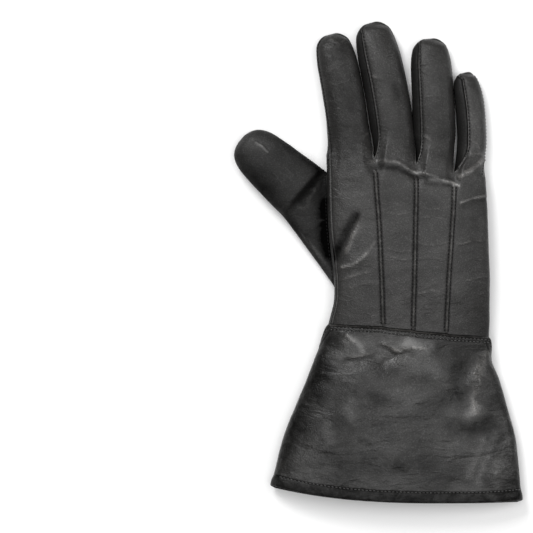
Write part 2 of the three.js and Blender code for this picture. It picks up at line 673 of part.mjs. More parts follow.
// Makes one piece of a skin into leather: an outer face, an inner face and an edge all round. lifts
// are heights over the skin: outer, inner, and seam, to which the inner face is skived at its edge.
function leather(skin, piece, lifts, gap) {
  const normals = skin.normals();
  const faces = skin.faces.filter((face) => face.piece === piece);
  const borders = borderEdges(faces);
  const steps = seamSteps(skin, faces, borders, gap);
  const indexOf = new Map();
  const positions = [];
  const corners = [...new Set(faces.flatMap((face) => face.ring))];
  corners.forEach((corner, k) => indexOf.set(corner, k));
  for (const layer of ["outer", "inner"]) {
    for (const corner of corners) {
      const wall = (steps.has(corner) ? lifts.seam : lifts.inner)(skin.points[corner]);
      const lift = layer === "outer" ? lifts.outer + skin.raises[corner] : wall;
      const place = skin.points[corner].clone().addScaledVector(normals[corner], lift);
      if (steps.has(corner)) place.add(steps.get(corner));
      positions.push(place.x, place.y, place.z);
    }
  }
  const triangles = [];
  const inner = corners.length;
  for (const { ring } of faces) {
    for (let k = 1; k < ring.length - 1; k += 1) {
      const [a, b, c] = [ring[0], ring[k], ring[k + 1]].map((corner) => indexOf.get(corner));
      triangles.push(a, b, c, inner + a, inner + c, inner + b);
    }
  }
  // Both pieces at a seam split its edge strip the same way, so that the two edges stay parallel.
  for (const { from, to } of borders) {
    const a = indexOf.get(from);
    const b = indexOf.get(to);
    if (from < to) triangles.push(b, a, inner + a, b, inner + a, inner + b);
    else triangles.push(b, a, inner + b, a, inner + a, inner + b);
  }
  return meshGeometry(positions, triangles);
}

function meshGeometry(positions, triangles) {
  const geometry = new THREE.BufferGeometry();
  geometry.setAttribute("position", new THREE.Float32BufferAttribute(positions, 3));
  geometry.setIndex(triangles);
  geometry.computeVertexNormals();
  return geometry;
}

// The tucks stand up along the three lines on the back, and end at the cuff.
function tuckRaise(column, row) {
  const onLine = column % BACK_COLUMNS === 0 && column > 0 && column < BACK_END;
  return onLine ? TUCK_HEIGHT * inWindow(TUCK_WINDOW, row) : 0;
}

// The whole skin of the hand, its fingers and its thumb.
function handSkin() {
  const skin = new Skin();
  const inHole = (column, row) => column >= HOLE_FIRST && column < PALM_END
    && row >= THUMB_HOLE_START && row < THUMB_HOLE_END;
  const handAt = (column, row) => skin.point(handPoint(column % COLUMNS, row), tuckRaise(column, row));
  for (let k = 0; k < HAND_ROWS.length - 1; k += 1) {
    const [row, next] = [HAND_ROWS[k], HAND_ROWS[k + 1]];
    for (let column = 0; column < COLUMNS; column += 1) {
      if (inHole(column, row)) continue;
      skin.face(column < PALM_START ? "back_panel" : "palm_panel", [
        handAt(column, row), handAt(column, next), handAt(column + 1, next), handAt(column + 1, row),
      ]);
    }
  }
  for (let number = 0; number < FINGER_COUNT; number += 1) {
    const at = (column, row) => skin.point(fingerPoint(number, column % FINGER_COLUMNS, row));
    for (let k = 0; k < FINGER_ROWS.length - 1; k += 1) {
      const [row, next] = [FINGER_ROWS[k], FINGER_ROWS[k + 1]];
      for (let column = 0; column < FINGER_COLUMNS; column += 1) {
        let piece = column < BACK_COLUMNS ? "back_panel" : "palm_panel";
        if (column >= BACK_COLUMNS && column < FINGER_UNDER) piece = GUSSETS[number] ?? "back_panel";
        if (column >= FINGER_LEFT) piece = GUSSETS[number - 1] ?? "palm_panel";
        skin.face(piece, [at(column, row), at(column + 1, row), at(column + 1, next), at(column, next)]);
      }
    }
  }
  const rim = thumbRim();
  const thumbAt = (spot, row) => skin.point(thumbPoint(spot, row));
  rim.forEach((spot, k) => {
    const beside = rim[(k + 1) % rim.length];
    for (let line = 0; line < THUMB_ROWS.length - 1; line += 1) {
      const [row, next] = [THUMB_ROWS[line], THUMB_ROWS[line + 1]];
      skin.face("thumb", [
        thumbAt(spot, row), thumbAt(beside, row), thumbAt(beside, next), thumbAt(spot, next),
      ]);
    }
  });
  return skin;
}

function cuffSkin() {
  const skin = new Skin();
  const rows = [...CUFF_ROWS, 1 - HEM_WIDTH / CUFF_LENGTH, 1];
  const at = (column, row) => skin.point(cuffPoint(column % COLUMNS, row));
  for (let k = 0; k < rows.length - 1; k += 1) {
    for (let column = 0; column < COLUMNS; column += 1) {
      skin.face("gauntlet_cuff", [
        at(column, rows[k]), at(column, rows[k + 1]), at(column + 1, rows[k + 1]), at(column + 1, rows[k]),
      ]);
    }
  }
  return skin;
}

const wasm = await Module();
wasm.setup();

function solidOf(geometry) {
  const bare = geometry.clone();
  bare.deleteAttribute("normal");
  bare.deleteAttribute("uv");
  const merged = mergeVertices(bare, 1e-4);
  return new wasm.Manifold(new wasm.Mesh({
    numProp: 3,
    vertProperties: merged.attributes.position.array,
    triVerts: new Uint32Array(merged.index.array),
  }));
}

function geometryOf(solid) {
  const cut = solid.getMesh();
  return meshGeometry([...cut.vertProperties], [...cut.triVerts]);
}

// The pad under the palm: a slab with sewn channels, cut to the pad's outline.
function padGeometry() {
  const ys = [];
  for (let k = 0; k < PAD_CHANNELS.length - 1; k += 1) {
    for (let step = 0; step < PAD_ROWS_PER_CHANNEL; step += 1) {
      const share = step / PAD_ROWS_PER_CHANNEL;
      const along = mix(PAD_CHANNELS[k], PAD_CHANNELS[k + 1], share);
      ys.push({ y: along * HAND_LENGTH, puff: Math.sin(Math.PI * share) });
    }
  }
  ys.push({ y: PAD_CHANNELS[PAD_CHANNELS.length - 1] * HAND_LENGTH, puff: 0 });
  const positions = [];
  for (const level of ["top", "bottom"]) {
    for (const { y, puff } of ys) {
      for (const share of PAD_COLUMNS) {
        const x = share * HAND_WIDTH;
        const over = bodyPoint(y, angleOver(y, x, false)).z - SKIN_GAP;
        const thick = PAD_THICKNESS * mix(CHANNEL_SHARE, 1, puff);
        positions.push(x, y, level === "top" ? over : over - thick);
      }
    }
  }
  const across = PAD_COLUMNS.length;
  const layer = ys.length * across;
  const triangles = [];
  const addQuad = (a, b, c, d) => triangles.push(a, b, c, a, c, d);
  for (let j = 0; j < ys.length - 1; j += 1) {
    for (let i = 0; i < across - 1; i += 1) {
      const a = j * across + i;
      addQuad(a, a + 1, a + 1 + across, a + across);
      addQuad(layer + a, layer + a + across, layer + a + 1 + across, layer + a + 1);
    }
    const left = j * across;
    const right = left + across - 1;
    addQuad(left, left + across, layer + left + across, layer + left);
    addQuad(right, layer + right, layer + right + across, right + across);
  }
  for (let i = 0; i < across - 1; i += 1) {
    const far = (ys.length - 1) * across + i;
    addQuad(i, layer + i, layer + i + 1, i + 1);
    addQuad(far, far + 1, layer + far + 1, layer + far);
  }
  const outline = new THREE.Shape(
    PAD_OUTLINE.map(({ x, y }) => new THREE.Vector2(x * HAND_WIDTH, y * HAND_LENGTH)),
  );
  const prism = new THREE.ExtrudeGeometry(outline, { depth: HAND_HEIGHT, bevelEnabled: false });
  prism.translate(0, 0, -HAND_HEIGHT / 2);

  return geometryOf(solidOf(meshGeometry(positions, triangles)).intersect(solidOf(prism)));
}

const glove = new THREE.Group();

function addPiece(name, geometry, color, roughness) {
  const material = new THREE.MeshStandardMaterial({ color, roughness, metalness: 0 });
  const mesh = new THREE.Mesh(geometry, material);
  mesh.name = name;
  glove.add(mesh);
}

const BLACK_LEATHER = 0x3a3938;
const DARK_LEATHER = 0x2c2b2a;
const hand = handSkin();
const panelLifts = { outer: 0, inner: () => -LEATHER, seam: () => -SEAM_LEATHER };
const gussetLifts = { outer: 0, inner: () => -GUSSET_LEATHER, seam: () => -SEAM_LEATHER };

addPiece("back_panel", leather(hand, "back_panel", panelLifts, SEAM_GAP), BLACK_LEATHER, 0.5);
addPiece("palm_panel", leather(hand, "palm_panel", panelLifts, SEAM_GAP), BLACK_LEATHER, 0.5);
for (const name of GUSSETS) {
  addPiece(name, leather(hand, name, gussetLifts, SEAM_GAP), DARK_LEATHER, 0.55);
}
addPiece("thumb", leather(hand, "thumb", panelLifts, SEAM_GAP), BLACK_LEATHER, 0.5);
addPiece("palm_pad", padGeometry(), BLACK_LEATHER, 0.5);

// The hem is the cuff's own leather turned up inside, so the wall there is twice as thick.
const hemStart = -CUFF_LENGTH + HEM_WIDTH + HEM_RISE;
const hemWall = SKIN_GAP - LEATHER;
const cuffWall = (place) => (place.y < hemStart ? hemWall : SKIN_GAP);
const cuffLifts = { outer: CUFF_LAYER, inner: cuffWall, seam: cuffWall };
addPiece("gauntlet_cuff", leather(cuffSkin(), "gauntlet_cuff", cuffLifts, 0), BLACK_LEATHER, 0.42);

// The part's origin is the middle of its footprint, on the ground.
const box = new THREE.Box3().setFromObject(glove);
const centre = box.getCenter(new THREE.Vector3());
glove.position.set(-centre.x, -centre.y, -box.min.z);

export default glove;
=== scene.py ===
import math

import bpy
import numpy as np
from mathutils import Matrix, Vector
from mathutils.bvhtree import BVHTree
from mathutils.kdtree import KDTree


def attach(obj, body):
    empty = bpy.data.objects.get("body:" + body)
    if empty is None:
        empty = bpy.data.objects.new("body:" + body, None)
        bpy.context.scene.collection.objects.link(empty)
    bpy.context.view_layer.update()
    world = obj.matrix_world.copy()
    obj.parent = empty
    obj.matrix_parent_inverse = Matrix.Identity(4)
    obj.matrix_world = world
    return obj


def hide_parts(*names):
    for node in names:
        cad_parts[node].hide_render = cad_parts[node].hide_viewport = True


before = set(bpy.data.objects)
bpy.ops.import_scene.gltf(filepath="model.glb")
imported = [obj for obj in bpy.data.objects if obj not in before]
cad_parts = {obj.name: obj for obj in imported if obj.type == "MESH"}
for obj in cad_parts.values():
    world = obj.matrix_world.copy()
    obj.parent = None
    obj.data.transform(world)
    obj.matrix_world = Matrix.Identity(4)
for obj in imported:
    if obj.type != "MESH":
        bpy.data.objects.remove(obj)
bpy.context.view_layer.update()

# Camera
# The glove lies palm down and is seen from straight above through a long lens. Its own sizes below
# are in millimetres, and everything in the scene is in metres.
VIEW_CENTRE_X = -0.0774
VIEW_CENTRE_Y = -0.0027
VIEW_WIDTH = 0.3678
CAMERA_HEIGHT = 2.0
OUTLINE_HEIGHT = 0.012
SENSOR_WIDTH = 36.0
FARTHEST_SEEN = 20.0

camera_data = bpy.data.cameras.new("camera")
camera_data.sensor_width = SENSOR_WIDTH
camera_data.lens = SENSOR_WIDTH * (CAMERA_HEIGHT - OUTLINE_HEIGHT) / VIEW_WIDTH
camera_data.clip_end = FARTHEST_SEEN
camera = bpy.data.objects.new("camera", camera_data)
camera.location = (VIEW_CENTRE_X, VIEW_CENTRE_Y, CAMERA_HEIGHT)
bpy.context.scene.collection.objects.link(camera)
bpy.context.scene.camera = camera
bpy.context.scene.view_settings.view_transform = "Standard"

# Table
# A plain pale table, painted flat white, on which the glove rests by its cuff, its palm and the
# undersides of its fingers.
TABLE_HALF = 6.0
TABLE_WHITE = (0.9, 0.9, 0.9, 1.0)
TABLE_ROUGHNESS = 0.9
TABLE_SHEEN = 0.1


# A material, its node tree and its shader.
def new_material(name):
    material = bpy.data.materials.new(name)
    material.use_nodes = True
    tree = material.node_tree
    shader = tree.nodes["Principled BSDF"]
    return material, tree, shader


# Gives each named input of a node its value, or the output that feeds it.
def fill_in(tree, node, settings):
    for label, setting in settings.items():
        if isinstance(setting, bpy.types.NodeSocket):
            tree.links.new(setting, node.inputs[label])
        else:
            node.inputs[label].default_value = setting
    return node


table_mesh = bpy.data.meshes.new("table")
table_signs = [(-1, -1), (1, -1), (1, 1), (-1, 1)]
table_corners = [(x * TABLE_HALF, y * TABLE_HALF, 0.0) for x, y in table_signs]
table_mesh.from_pydata(table_corners, [], [(0, 1, 2, 3)])
table = bpy.data.objects.new("table", table_mesh)
bpy.context.scene.collection.objects.link(table)
table_paint, table_tree, table_shader = new_material("table_paint")
fill_in(table_tree, table_shader, {
    "Base Color": TABLE_WHITE, "Roughness": TABLE_ROUGHNESS, "Specular IOR Level": TABLE_SHEEN,
})
table_mesh.materials.append(table_paint)

# Light
# A wide soft box straight over the glove, a smaller one over the fingers on the thumb's side and a
# weak one on the other side, in a dim white room.
ROOM_LIGHT = 0.22
ROOM_WHITE = (1.0, 1.0, 1.0, 1.0)
# Each box's name, its place and width in metres, and its power in watts.
SOFT_BOXES = [
    ("top_light", (0.0, 0.0, 2.6), 2.6, 52.0),
    ("key_light", (-0.8, 1.3, 1.5), 0.8, 26.0),
    ("side_light", (1.5, 0.3, 1.2), 0.8, 8.0),
]


# A square lamp that faces the glove.
def soft_box(name, spot, size, power):
    data = bpy.data.lights.new(name, "AREA")
    data.shape = "SQUARE"
    data.size = size
    data.energy = power
    box = bpy.data.objects.new(name, data)
    box.location = spot
    box.rotation_euler = (-Vector(spot)).to_track_quat("-Z", "Y").to_euler()
    bpy.context.scene.collection.objects.link(box)


for box_settings in SOFT_BOXES:
    soft_box(*box_settings)

room = bpy.data.worlds.new("room")
room.use_nodes = True
room_tree = room.node_tree
fill_in(room_tree, room_tree.nodes["Background"], {"Color": ROOM_WHITE, "Strength": ROOM_LIGHT})
bpy.context.scene.world = room

# Back of the hand and fingers
# One skin of soft, smooth, dull black leather from the wrist to the fingertips. Three points, narrow
# tucks that are stitched down on both sides, run up from the wrist to the crotches of the fingers.
HAND_WIDTH = 110
HAND_LENGTH = 115
HAND_HEIGHT = 25
LEATHER = 1.3
SKIN_GAP = 0.4
CUFF_LAYER = LEATHER + SKIN_GAP
CUFF_LENGTH = 119
CUFF_WIDTH = 171
CUFF_HEIGHT = 24
PAD_THICKNESS = 2.4
PALM_CROTCH_DROP = 6
CROTCH_DIP = 3
CROTCH_REACH = 12
TUCK_HEIGHT = 0.9
TUCK_HALF_WIDTH = 1.8
GATHER_HEIGHT = 1.1
GATHERS_ACROSS = 10
THUMB_RISE = 3.5
WRIST_SLANT = 0.083
WRIST_DROP = 18
WRIST_LAP = 8
BACK_ROUNDNESS = 2.6
UNDER_ROUNDNESS = 3.2
UNDER_FLATNESS = 1.04
SIDE_ANGLE = 16
METRE = 0.001
# From the middle of the wrist seam to the middle of the glove's box.
GLOVE_SHIFT = np.array([19.59, -46.49, 0.03])

# The skin is laid out in columns round the hand, and in rows from the crotches down to the wrist.
FINGER_COUNT = 4
BACK_COLUMNS = 5
SIDE_COLUMNS = 2
BACK_END = FINGER_COUNT * BACK_COLUMNS
PALM_START = BACK_END + SIDE_COLUMNS
PALM_END = PALM_START + BACK_END
COLUMNS = PALM_END + SIDE_COLUMNS
HOLE_FIRST = PALM_END - BACK_COLUMNS
HOLE_START = 0.19
HOLE_END = 0.91


# A table by the names of its columns.
def table_of(names, rows):
    return dict(zip(names.split(), np.array(rows, float).T))


# Shares of the hand's length from the wrist seam, of its width and of its height.
HAND_SECTIONS = table_of("at left right top side lift", [
    (0.072, -0.484, 0.522, 0.85, 0.44, 0.9),
    (0.18, -0.459, 0.519, 0.9, 0.48, 1),
    (0.323, -0.459, 0.519, 0.96, 0.5, 1),
    (0.467, -0.478, 0.512, 1, 0.52, 1),
    (0.623, -0.494, 0.506, 1, 0.54, 1),
    (0.778, -0.5, 0.5, 0.97, 0.54, 1),
    (0.928, -0.503, 0.491, 0.92, 0.52, 1),
    (1.048, -0.506, 0.484, 0.86, 0.5, 1),
    (1.138, -0.506, 0.484, 0.8, 0.48, 1),
])

# Shares of the cuff's length from the hem back to the wrist seam, of its width and of its height.
CUFF_SECTIONS = table_of("at left right top side lift", [
    (-1.03, -0.575, 0.472, 0.97, 0.36, 0),
    (-0.928, -0.557, 0.464, 0.98, 0.36, 0),
    (-0.8, -0.531, 0.456, 1, 0.36, 0),
    (-0.614, -0.495, 0.438, 1.02, 0.36, 0),
    (-0.429, -0.446, 0.402, 1.02, 0.36, 0),
    (-0.29, -0.406, 0.372, 1, 0.36, 0),
    (-0.174, -0.376, 0.342, 0.94, 0.38, 0),
    (-0.087, -0.35, 0.342, 0.9, 0.4, 0.4),
])

# Lines down the hand from the three crotches, on the back and on the palm: shares of its width.
HAND_LINES = table_of("at back1 back2 back3 palm1 palm2 palm3", [
    (0, -0.207, 0.056, 0.294, -0.207, 0.056, 0.294),
    (0.19, -0.195, 0.052, 0.287, -0.194, 0.08, 0.3),
    (0.31, -0.184, 0.049, 0.278, -0.12, 0.11, 0.315),
    (0.43, -0.176, 0.046, 0.27, -0.065, 0.14, 0.33),
    (0.59, -0.168, 0.043, 0.258, -0.019, 0.165, 0.34),
    (0.75, -0.16, 0.039, 0.25, -0.045, 0.15, 0.335),
    (0.91, -0.154, 0.035, 0.243, -0.16, 0.09, 0.31),
    (1, -0.15, 0.034, 0.24, -0.2, 0.06, 0.3),
])
CROTCH_ALONG = np.array([1.05, 1.038, 1.002, 0.948, 0.912])
THUMB_SLANT = table_of("at raise", [(0, 0), (0.19, 0.165), (0.91, 0.32), (1, 0)])
THUMB_SWELL = {"x": -0.3, "reach_x": 0.27, "y": 0.5, "reach_y": 0.4}
GATHER_WINDOW = (0.78, 0.88, 0.91, 0.95)
TUCK_WINDOW = (0.068, 0.095, 0.9, 0.94)

# The large folds of the upper layer: half width and height in millimetres, the height below zero for
# a valley, then the two ends as shares of the hand's width and length.
FOLDS = [
    (5, -1.3, (-0.35, 0.65), (-0.444, 0.431)),
    (4, 0.9, (-0.419, 0.371), (-0.275, 0.431)),
    (5, 1, (-0.4, -0.04), (-0.325, -0.1)),
    (6, 1.1, (-0.094, -0.078), (0.15, -0.114)),
    (5, -1.3, (-0.388, -0.186), (-0.212, -0.156)),
    (5, -1.3, (-0.15, -0.186), (0, -0.132)),
    (8, -2.2, (0.313, -0.317), (0.444, -0.156)),
    (5, 1.5, (0.388, -0.317), (0.5, -0.174)),
]


def mix(first, second, share):
    return first + (second - first) * share


# 0 up to 0 and 1 from 1 on, with a soft start and end between them.
def smooth(share):
    held = np.clip(share, 0, 1)
    return held * held * (3 - 2 * held)


# 1 at the middle of a ridge, falling away on both sides of it.
def ridge(away, reach):
    return np.exp(-(away / reach) ** 2)


# Rises from 0 at the window's start, stays at 1, and falls to 0 again at its end.
def in_window(window, at):
    start, full, fade, end = window
    return smooth((at - start) / (full - start)) * smooth((end - at) / (end - fade))


def signed_power(value, power):
    return np.sign(value) * np.abs(value) ** power


# Columns and rows of a skin as grids of one shape.
def grids(column, row):
    return np.broadcast_arrays(np.asarray(column, float), np.asarray(row, float))


# Points from their coordinates.
def place(x, y, z):
    return np.stack(np.broadcast_arrays(x, y, z), -1)


# Reads a table between its rows, along a smooth curve through every column.
def read_table(table, at):
    ats = table["at"]
    last = len(ats) - 1
    held = np.clip(at, ats[0], ats[-1])
    index = np.clip(np.searchsorted(ats, held) - 1, 0, last - 1)
    span = ats[index + 1] - ats[index]
    share = (held - ats[index]) / span
    before = np.maximum(np.arange(last + 1) - 1, 0)
    after = np.minimum(np.arange(last + 1) + 1, last)
    read = {}
    for name, values in table.items():
        slopes = (values[after] - values[before]) / (ats[after] - ats[before])
        turn = span * share * (1 - share) * (slopes[index] * (1 - share) - slopes[index + 1] * share)
        read[name] = mix(values[index], values[index + 1], smooth(share)) + turn
    return read


# The sections of the cuff and the hand as one table in millimetres, to the space inside the cuff.
def body_table():
    body = {}
    cuff_edge = {"left": CUFF_LAYER, "right": -CUFF_LAYER, "top": -CUFF_LAYER}
    sizes = {
        "at": (CUFF_LENGTH, HAND_LENGTH), "left": (CUFF_WIDTH, HAND_WIDTH),
        "right": (CUFF_WIDTH, HAND_WIDTH), "top": (CUFF_HEIGHT, HAND_HEIGHT),
    }
    for name in CUFF_SECTIONS:
        cuff_size, hand_size = sizes.get(name, (1, 1))
        cuff = CUFF_SECTIONS[name] * cuff_size + cuff_edge.get(name, 0)
        body[name] = np.concatenate([cuff, HAND_SECTIONS[name] * hand_size])
    return body


BODY = body_table()


# Height of the lowest skin over the table, without the roundness of the sides.
def under_height(lift, x, y):
    off_x = (x / HAND_WIDTH - THUMB_SWELL["x"]) / THUMB_SWELL["reach_x"]
    off_y = (y / HAND_LENGTH - THUMB_SWELL["y"]) / THUMB_SWELL["reach_y"]
    swell = THUMB_RISE * np.exp(-off_x * off_x - off_y * off_y)
    return mix(CUFF_LAYER, PAD_THICKNESS + SKIN_GAP, lift) + swell


# How far each place is from a line between two points.
def distance_to_line(x, y, start, end):
    run_x = end[0] - start[0]
    run_y = end[1] - start[1]
    share = ((x - start[0]) * run_x + (y - start[1]) * run_y) / (run_x * run_x + run_y * run_y)
    held = np.clip(share, 0, 1)
    return np.hypot(x - start[0] - held * run_x, y - start[1] - held * run_y)


# How high a set of folds stands at each place. A fold has a half width, a height and a line.
def folds_rise(x, y, folds):
    rise = 0
    for reach, height, line in folds:
        near = np.min([distance_to_line(x, y, start, end) for start, end in zip(line, line[1:])], axis=0)
        rise = rise + height * ridge(near, reach)
    return rise


large_folds = [(reach, height, np.array(ends) * (HAND_WIDTH, HAND_LENGTH)) for reach, height, *ends in FOLDS]


# A point of the glove's body at a height along it and an angle round it, 0 at the right, 90 on top.
def body_point(y, angle):
    section = read_table(BODY, y)
    turn = np.radians(angle)
    upper = np.sin(turn) >= 0
    roundness = np.where(upper, BACK_ROUNDNESS, UNDER_ROUNDNESS)
    across = signed_power(np.cos(turn), 2 / roundness)
    away = np.abs(np.sin(turn)) ** (2 / roundness)
    x = mix(section["left"], section["right"], (across + 1) / 2)
    side_height = section["side"] * section["top"]
    above = mix(side_height, section["top"], away) + folds_rise(x, y, large_folds) * away
    down = np.minimum(away * UNDER_FLATNESS, 1)
    below = mix(side_height, under_height(section["lift"], x, y), down)
    return place(x, y, np.where(upper, above, below))


# The angle at which the body's upper or lower layer stands over a given X.
def angle_over(y, x, upper):
    section = read_table(BODY, y)
    across = 2 * (x - section["left"]) / (section["right"] - section["left"]) - 1
    roundness = np.where(upper, BACK_ROUNDNESS, UNDER_ROUNDNESS)
    angle = np.degrees(np.arccos(signed_power(np.clip(across, -1, 1), roundness / 2)))
    return np.where(upper, angle, -angle)


# X of a column on the back or the palm. On the back the columns draw close beside a tuck.
def column_x(y, row, across, on_back):
    section = read_table(BODY, y)
    lines = read_table(HAND_LINES, row)
    edge = math.cos(math.radians(SIDE_ANGLE)) ** (2 / np.where(on_back, BACK_ROUNDNESS, UNDER_ROUNDNESS))
    xs = [mix(section["left"], section["right"], (1 - edge) / 2)]
    for number in "123":
        xs.append(np.where(on_back, lines["back" + number], lines["palm" + number]) * HAND_WIDTH)
    xs.append(mix(section["left"], section["right"], (1 + edge) / 2))
    xs = np.stack(np.broadcast_arrays(*xs))
    finger = np.minimum(np.floor(across).astype(int), FINGER_COUNT - 1)
    share = across - finger
    start = np.take_along_axis(xs, finger[None], 0)[0]
    width = np.take_along_axis(xs, finger[None] + 1, 0)[0] - start
    step = share * BACK_COLUMNS
    close = TUCK_HALF_WIDTH / width
    pulled = mix(close, 1 - close, (step - 1) / (BACK_COLUMNS - 2))
    pulled = np.where(step < 1, step * close, pulled)
    pulled = np.where(step > BACK_COLUMNS - 1, 1 - (BACK_COLUMNS - step) * close, pulled)
    pull = np.where(on_back, smooth(row / HOLE_START), 0)
    return start + width * mix(share, pulled, pull)


# Columns run over the back from the index side, down the little finger's side, back across the palm
# and up the index side. Gives how far across the fingers a column is, and how far under the hand.
def column_place(column):
    layers = [column <= BACK_END, column < PALM_START, column <= PALM_END]
    palm_across = FINGER_COUNT - (column - PALM_START) / BACK_COLUMNS
    across = np.select(layers, [column / BACK_COLUMNS, np.full_like(column, FINGER_COUNT), palm_across], 0.0)
    down = (column - BACK_END) / SIDE_COLUMNS
    up = 1 - (column - PALM_END) / SIDE_COLUMNS
    return across, np.select(layers, [np.zeros_like(column), down, np.ones_like(column)], up)


# 1 over the inside of the hand, falling to 0 at its two side edges.
def middle(across):
    return smooth(2 * np.minimum(across, FINGER_COUNT - across))


# How far up the hand the line of the crotches lies.
def crotch_y(across, under):
    finger = np.minimum(np.floor(across).astype(int), FINGER_COUNT - 1)
    along = mix(CROTCH_ALONG[finger], CROTCH_ALONG[finger + 1], across - finger)
    inner = smooth(np.minimum(across, FINGER_COUNT - across))
    return along * HAND_LENGTH - PALM_CROTCH_DROP * under * inner


# How far up the hand the wrist seam lies.
def seam_y(x, under):
    return -WRIST_SLANT * x - WRIST_DROP * smooth(under)


# A point of the hand's skin. row: 0 at the crotches, 1 at the end under the cuff.
def hand_point(column, row):
    column, row = grids(column, row)
    across, under = column_place(column)
    nominal_x = (across / FINGER_COUNT - 0.5) * HAND_WIDTH
    slant = read_table(THUMB_SLANT, row)["raise"] * HAND_LENGTH * under * np.maximum(1 - across, 0)
    y = mix(crotch_y(across, under), seam_y(nominal_x, under) - WRIST_LAP, row) + slant
    on_side = (under > 0) & (under < 1)
    below = SIDE_ANGLE * (1 - 2 * under)
    on_back = under == 0
    x = column_x(y, row, across, on_back)
    side_angle = np.where(across > 0, below, 180 - below)
    point = body_point(y, np.where(on_side, side_angle, angle_over(y, x, on_back)))
    beside = np.maximum(np.cos(2 * np.pi * across), 0)
    dip = CROTCH_DIP * ridge(y - crotch_y(across, under), CROTCH_REACH) * beside * middle(across)
    wave = np.cos(2 * np.pi * GATHERS_ACROSS * across / FINGER_COUNT)
    clear_of_thumb = np.where(row > HOLE_END, 1, smooth(across - 1))
    gather = GATHER_HEIGHT * clear_of_thumb * middle(across) * wave * in_window(GATHER_WINDOW, row)
    point[..., 2] += np.where(on_back, -dip, np.where(on_side, 0, gather))
    return point


# The fingers. Length, width and height in millimetres; root: shares of the hand's width and length
# and of the finger's width; lean, bow: shares of its length; then the seams' angles round it.
FINGER_SIZES = (
    "length width height root_x root_y root_width lean bow back_left back_right under_right under_left"
)
FINGERS = [dict(zip(FINGER_SIZES.split(), row)) for row in [
    (85, 28.5, 18, -0.357, 1.036, 1, -0.163, 0.027, 165, 0, -48, -165),
    (95, 30, 18.5, -0.075, 1.018, 0.9, -0.181, 0.029, 131, -5, -52, -175),
    (89, 29, 18, 0.175, 0.976, 0.84, -0.047, 0.012, 130, -5, -52, -175),
    (71, 20, 15.5, 0.391, 0.928, 0.97, -0.053, 0.048, 106, -12, -40, -190),
]]
FINGER_SHAPE = table_of("at width height", [
    (0, 1, 0.95), (0.3, 1, 1), (0.7, 0.98, 0.97), (0.8, 0.95, 0.92),
    (0.88, 0.88, 0.82), (0.94, 0.76, 0.66), (0.98, 0.53, 0.42), (0.993, 0.36, 0.22), (1, 0.18, 0),
])
FINGER_TOP_ROUNDNESS = 2.2
FINGER_UNDER_ROUNDNESS = 2.8
FINGER_BLEND = 0.3
FINGER_SLOPE = 0.1
FINGER_SIDE = 0.45
FLAT_POWER = 4
TIP_START = 0.93
FINGER_UNDER = BACK_COLUMNS + SIDE_COLUMNS
FINGER_LEFT = FINGER_UNDER + BACK_COLUMNS
FINGER_COLUMNS = FINGER_LEFT + SIDE_COLUMNS


# Whether a finger's columns are on its back, its right side or its underside.
def finger_parts(column):
    return [column <= BACK_COLUMNS, column < FINGER_UNDER, column <= FINGER_LEFT]


# The crotch between two fingers, from the back, 0, to the palm, 1.
def crotch_point(number, under):
    back = hand_point(number * BACK_COLUMNS, 0)
    palm = hand_point(PALM_END - number * BACK_COLUMNS, 0)
    return mix(back, palm, under[..., None])


# Where a finger's columns leave the hand: over its back, down its right side, across its underside
# and up its left side.
def finger_root(number, column):
    right = (column - BACK_COLUMNS) / SIDE_COLUMNS
    left = (column - FINGER_LEFT) / SIDE_COLUMNS
    over = hand_point(number * BACK_COLUMNS + np.clip(column, 0, BACK_COLUMNS), 0)
    under_start = PALM_START + (FINGER_COUNT - 1 - number) * BACK_COLUMNS - FINGER_UNDER
    below = hand_point(under_start + np.clip(column, FINGER_UNDER, FINGER_LEFT), 0)
    if number == FINGER_COUNT - 1:
        right_side = hand_point(BACK_END + np.clip(right, 0, 1) * SIDE_COLUMNS, 0)
    else:
        right_side = crotch_point(number + 1, right)
    if number == 0:
        left_side = hand_point(PALM_END + np.clip(left, 0, 1) * SIDE_COLUMNS, 0)
    else:
        left_side = crotch_point(number, 1 - left)
    parts = [part[..., None] for part in finger_parts(column)]
    return np.select(parts, [over, right_side, below], left_side)


# The angle of a finger's column, and its place along the straight seam that closes the tip.
def finger_column(finger, column):
    over = column / BACK_COLUMNS
    right = (column - BACK_COLUMNS) / SIDE_COLUMNS
    below = (column - FINGER_UNDER) / BACK_COLUMNS
    left = (column - FINGER_LEFT) / SIDE_COLUMNS
    parts = finger_parts(column)
    angle = np.select(parts, [
        mix(finger["back_left"], finger["back_right"], over),
        mix(finger["back_right"], finger["under_right"], right),
        mix(finger["under_right"], finger["under_left"], below),
    ], mix(finger["under_left"], finger["back_left"] - 360, left))
    ones = np.ones_like(column)
    return angle, np.select(parts, [2 * over - 1, ones, 1 - 2 * below], -ones)


# A point round a rolled tube: across and up from its middle, resting flat on the table.
def tube_offset(angle, width, height, side, share):
    turn = np.radians(angle)
    upper = np.sin(turn) >= 0
    roundness = np.where(upper, FINGER_TOP_ROUNDNESS, FINGER_UNDER_ROUNDNESS)
    away = np.abs(np.sin(turn)) ** (2 / roundness) * share
    across = (width / 2) * signed_power(np.cos(turn), 2 / roundness)
    return across, height * np.where(upper, mix(side, 1, away), side * (1 - away))


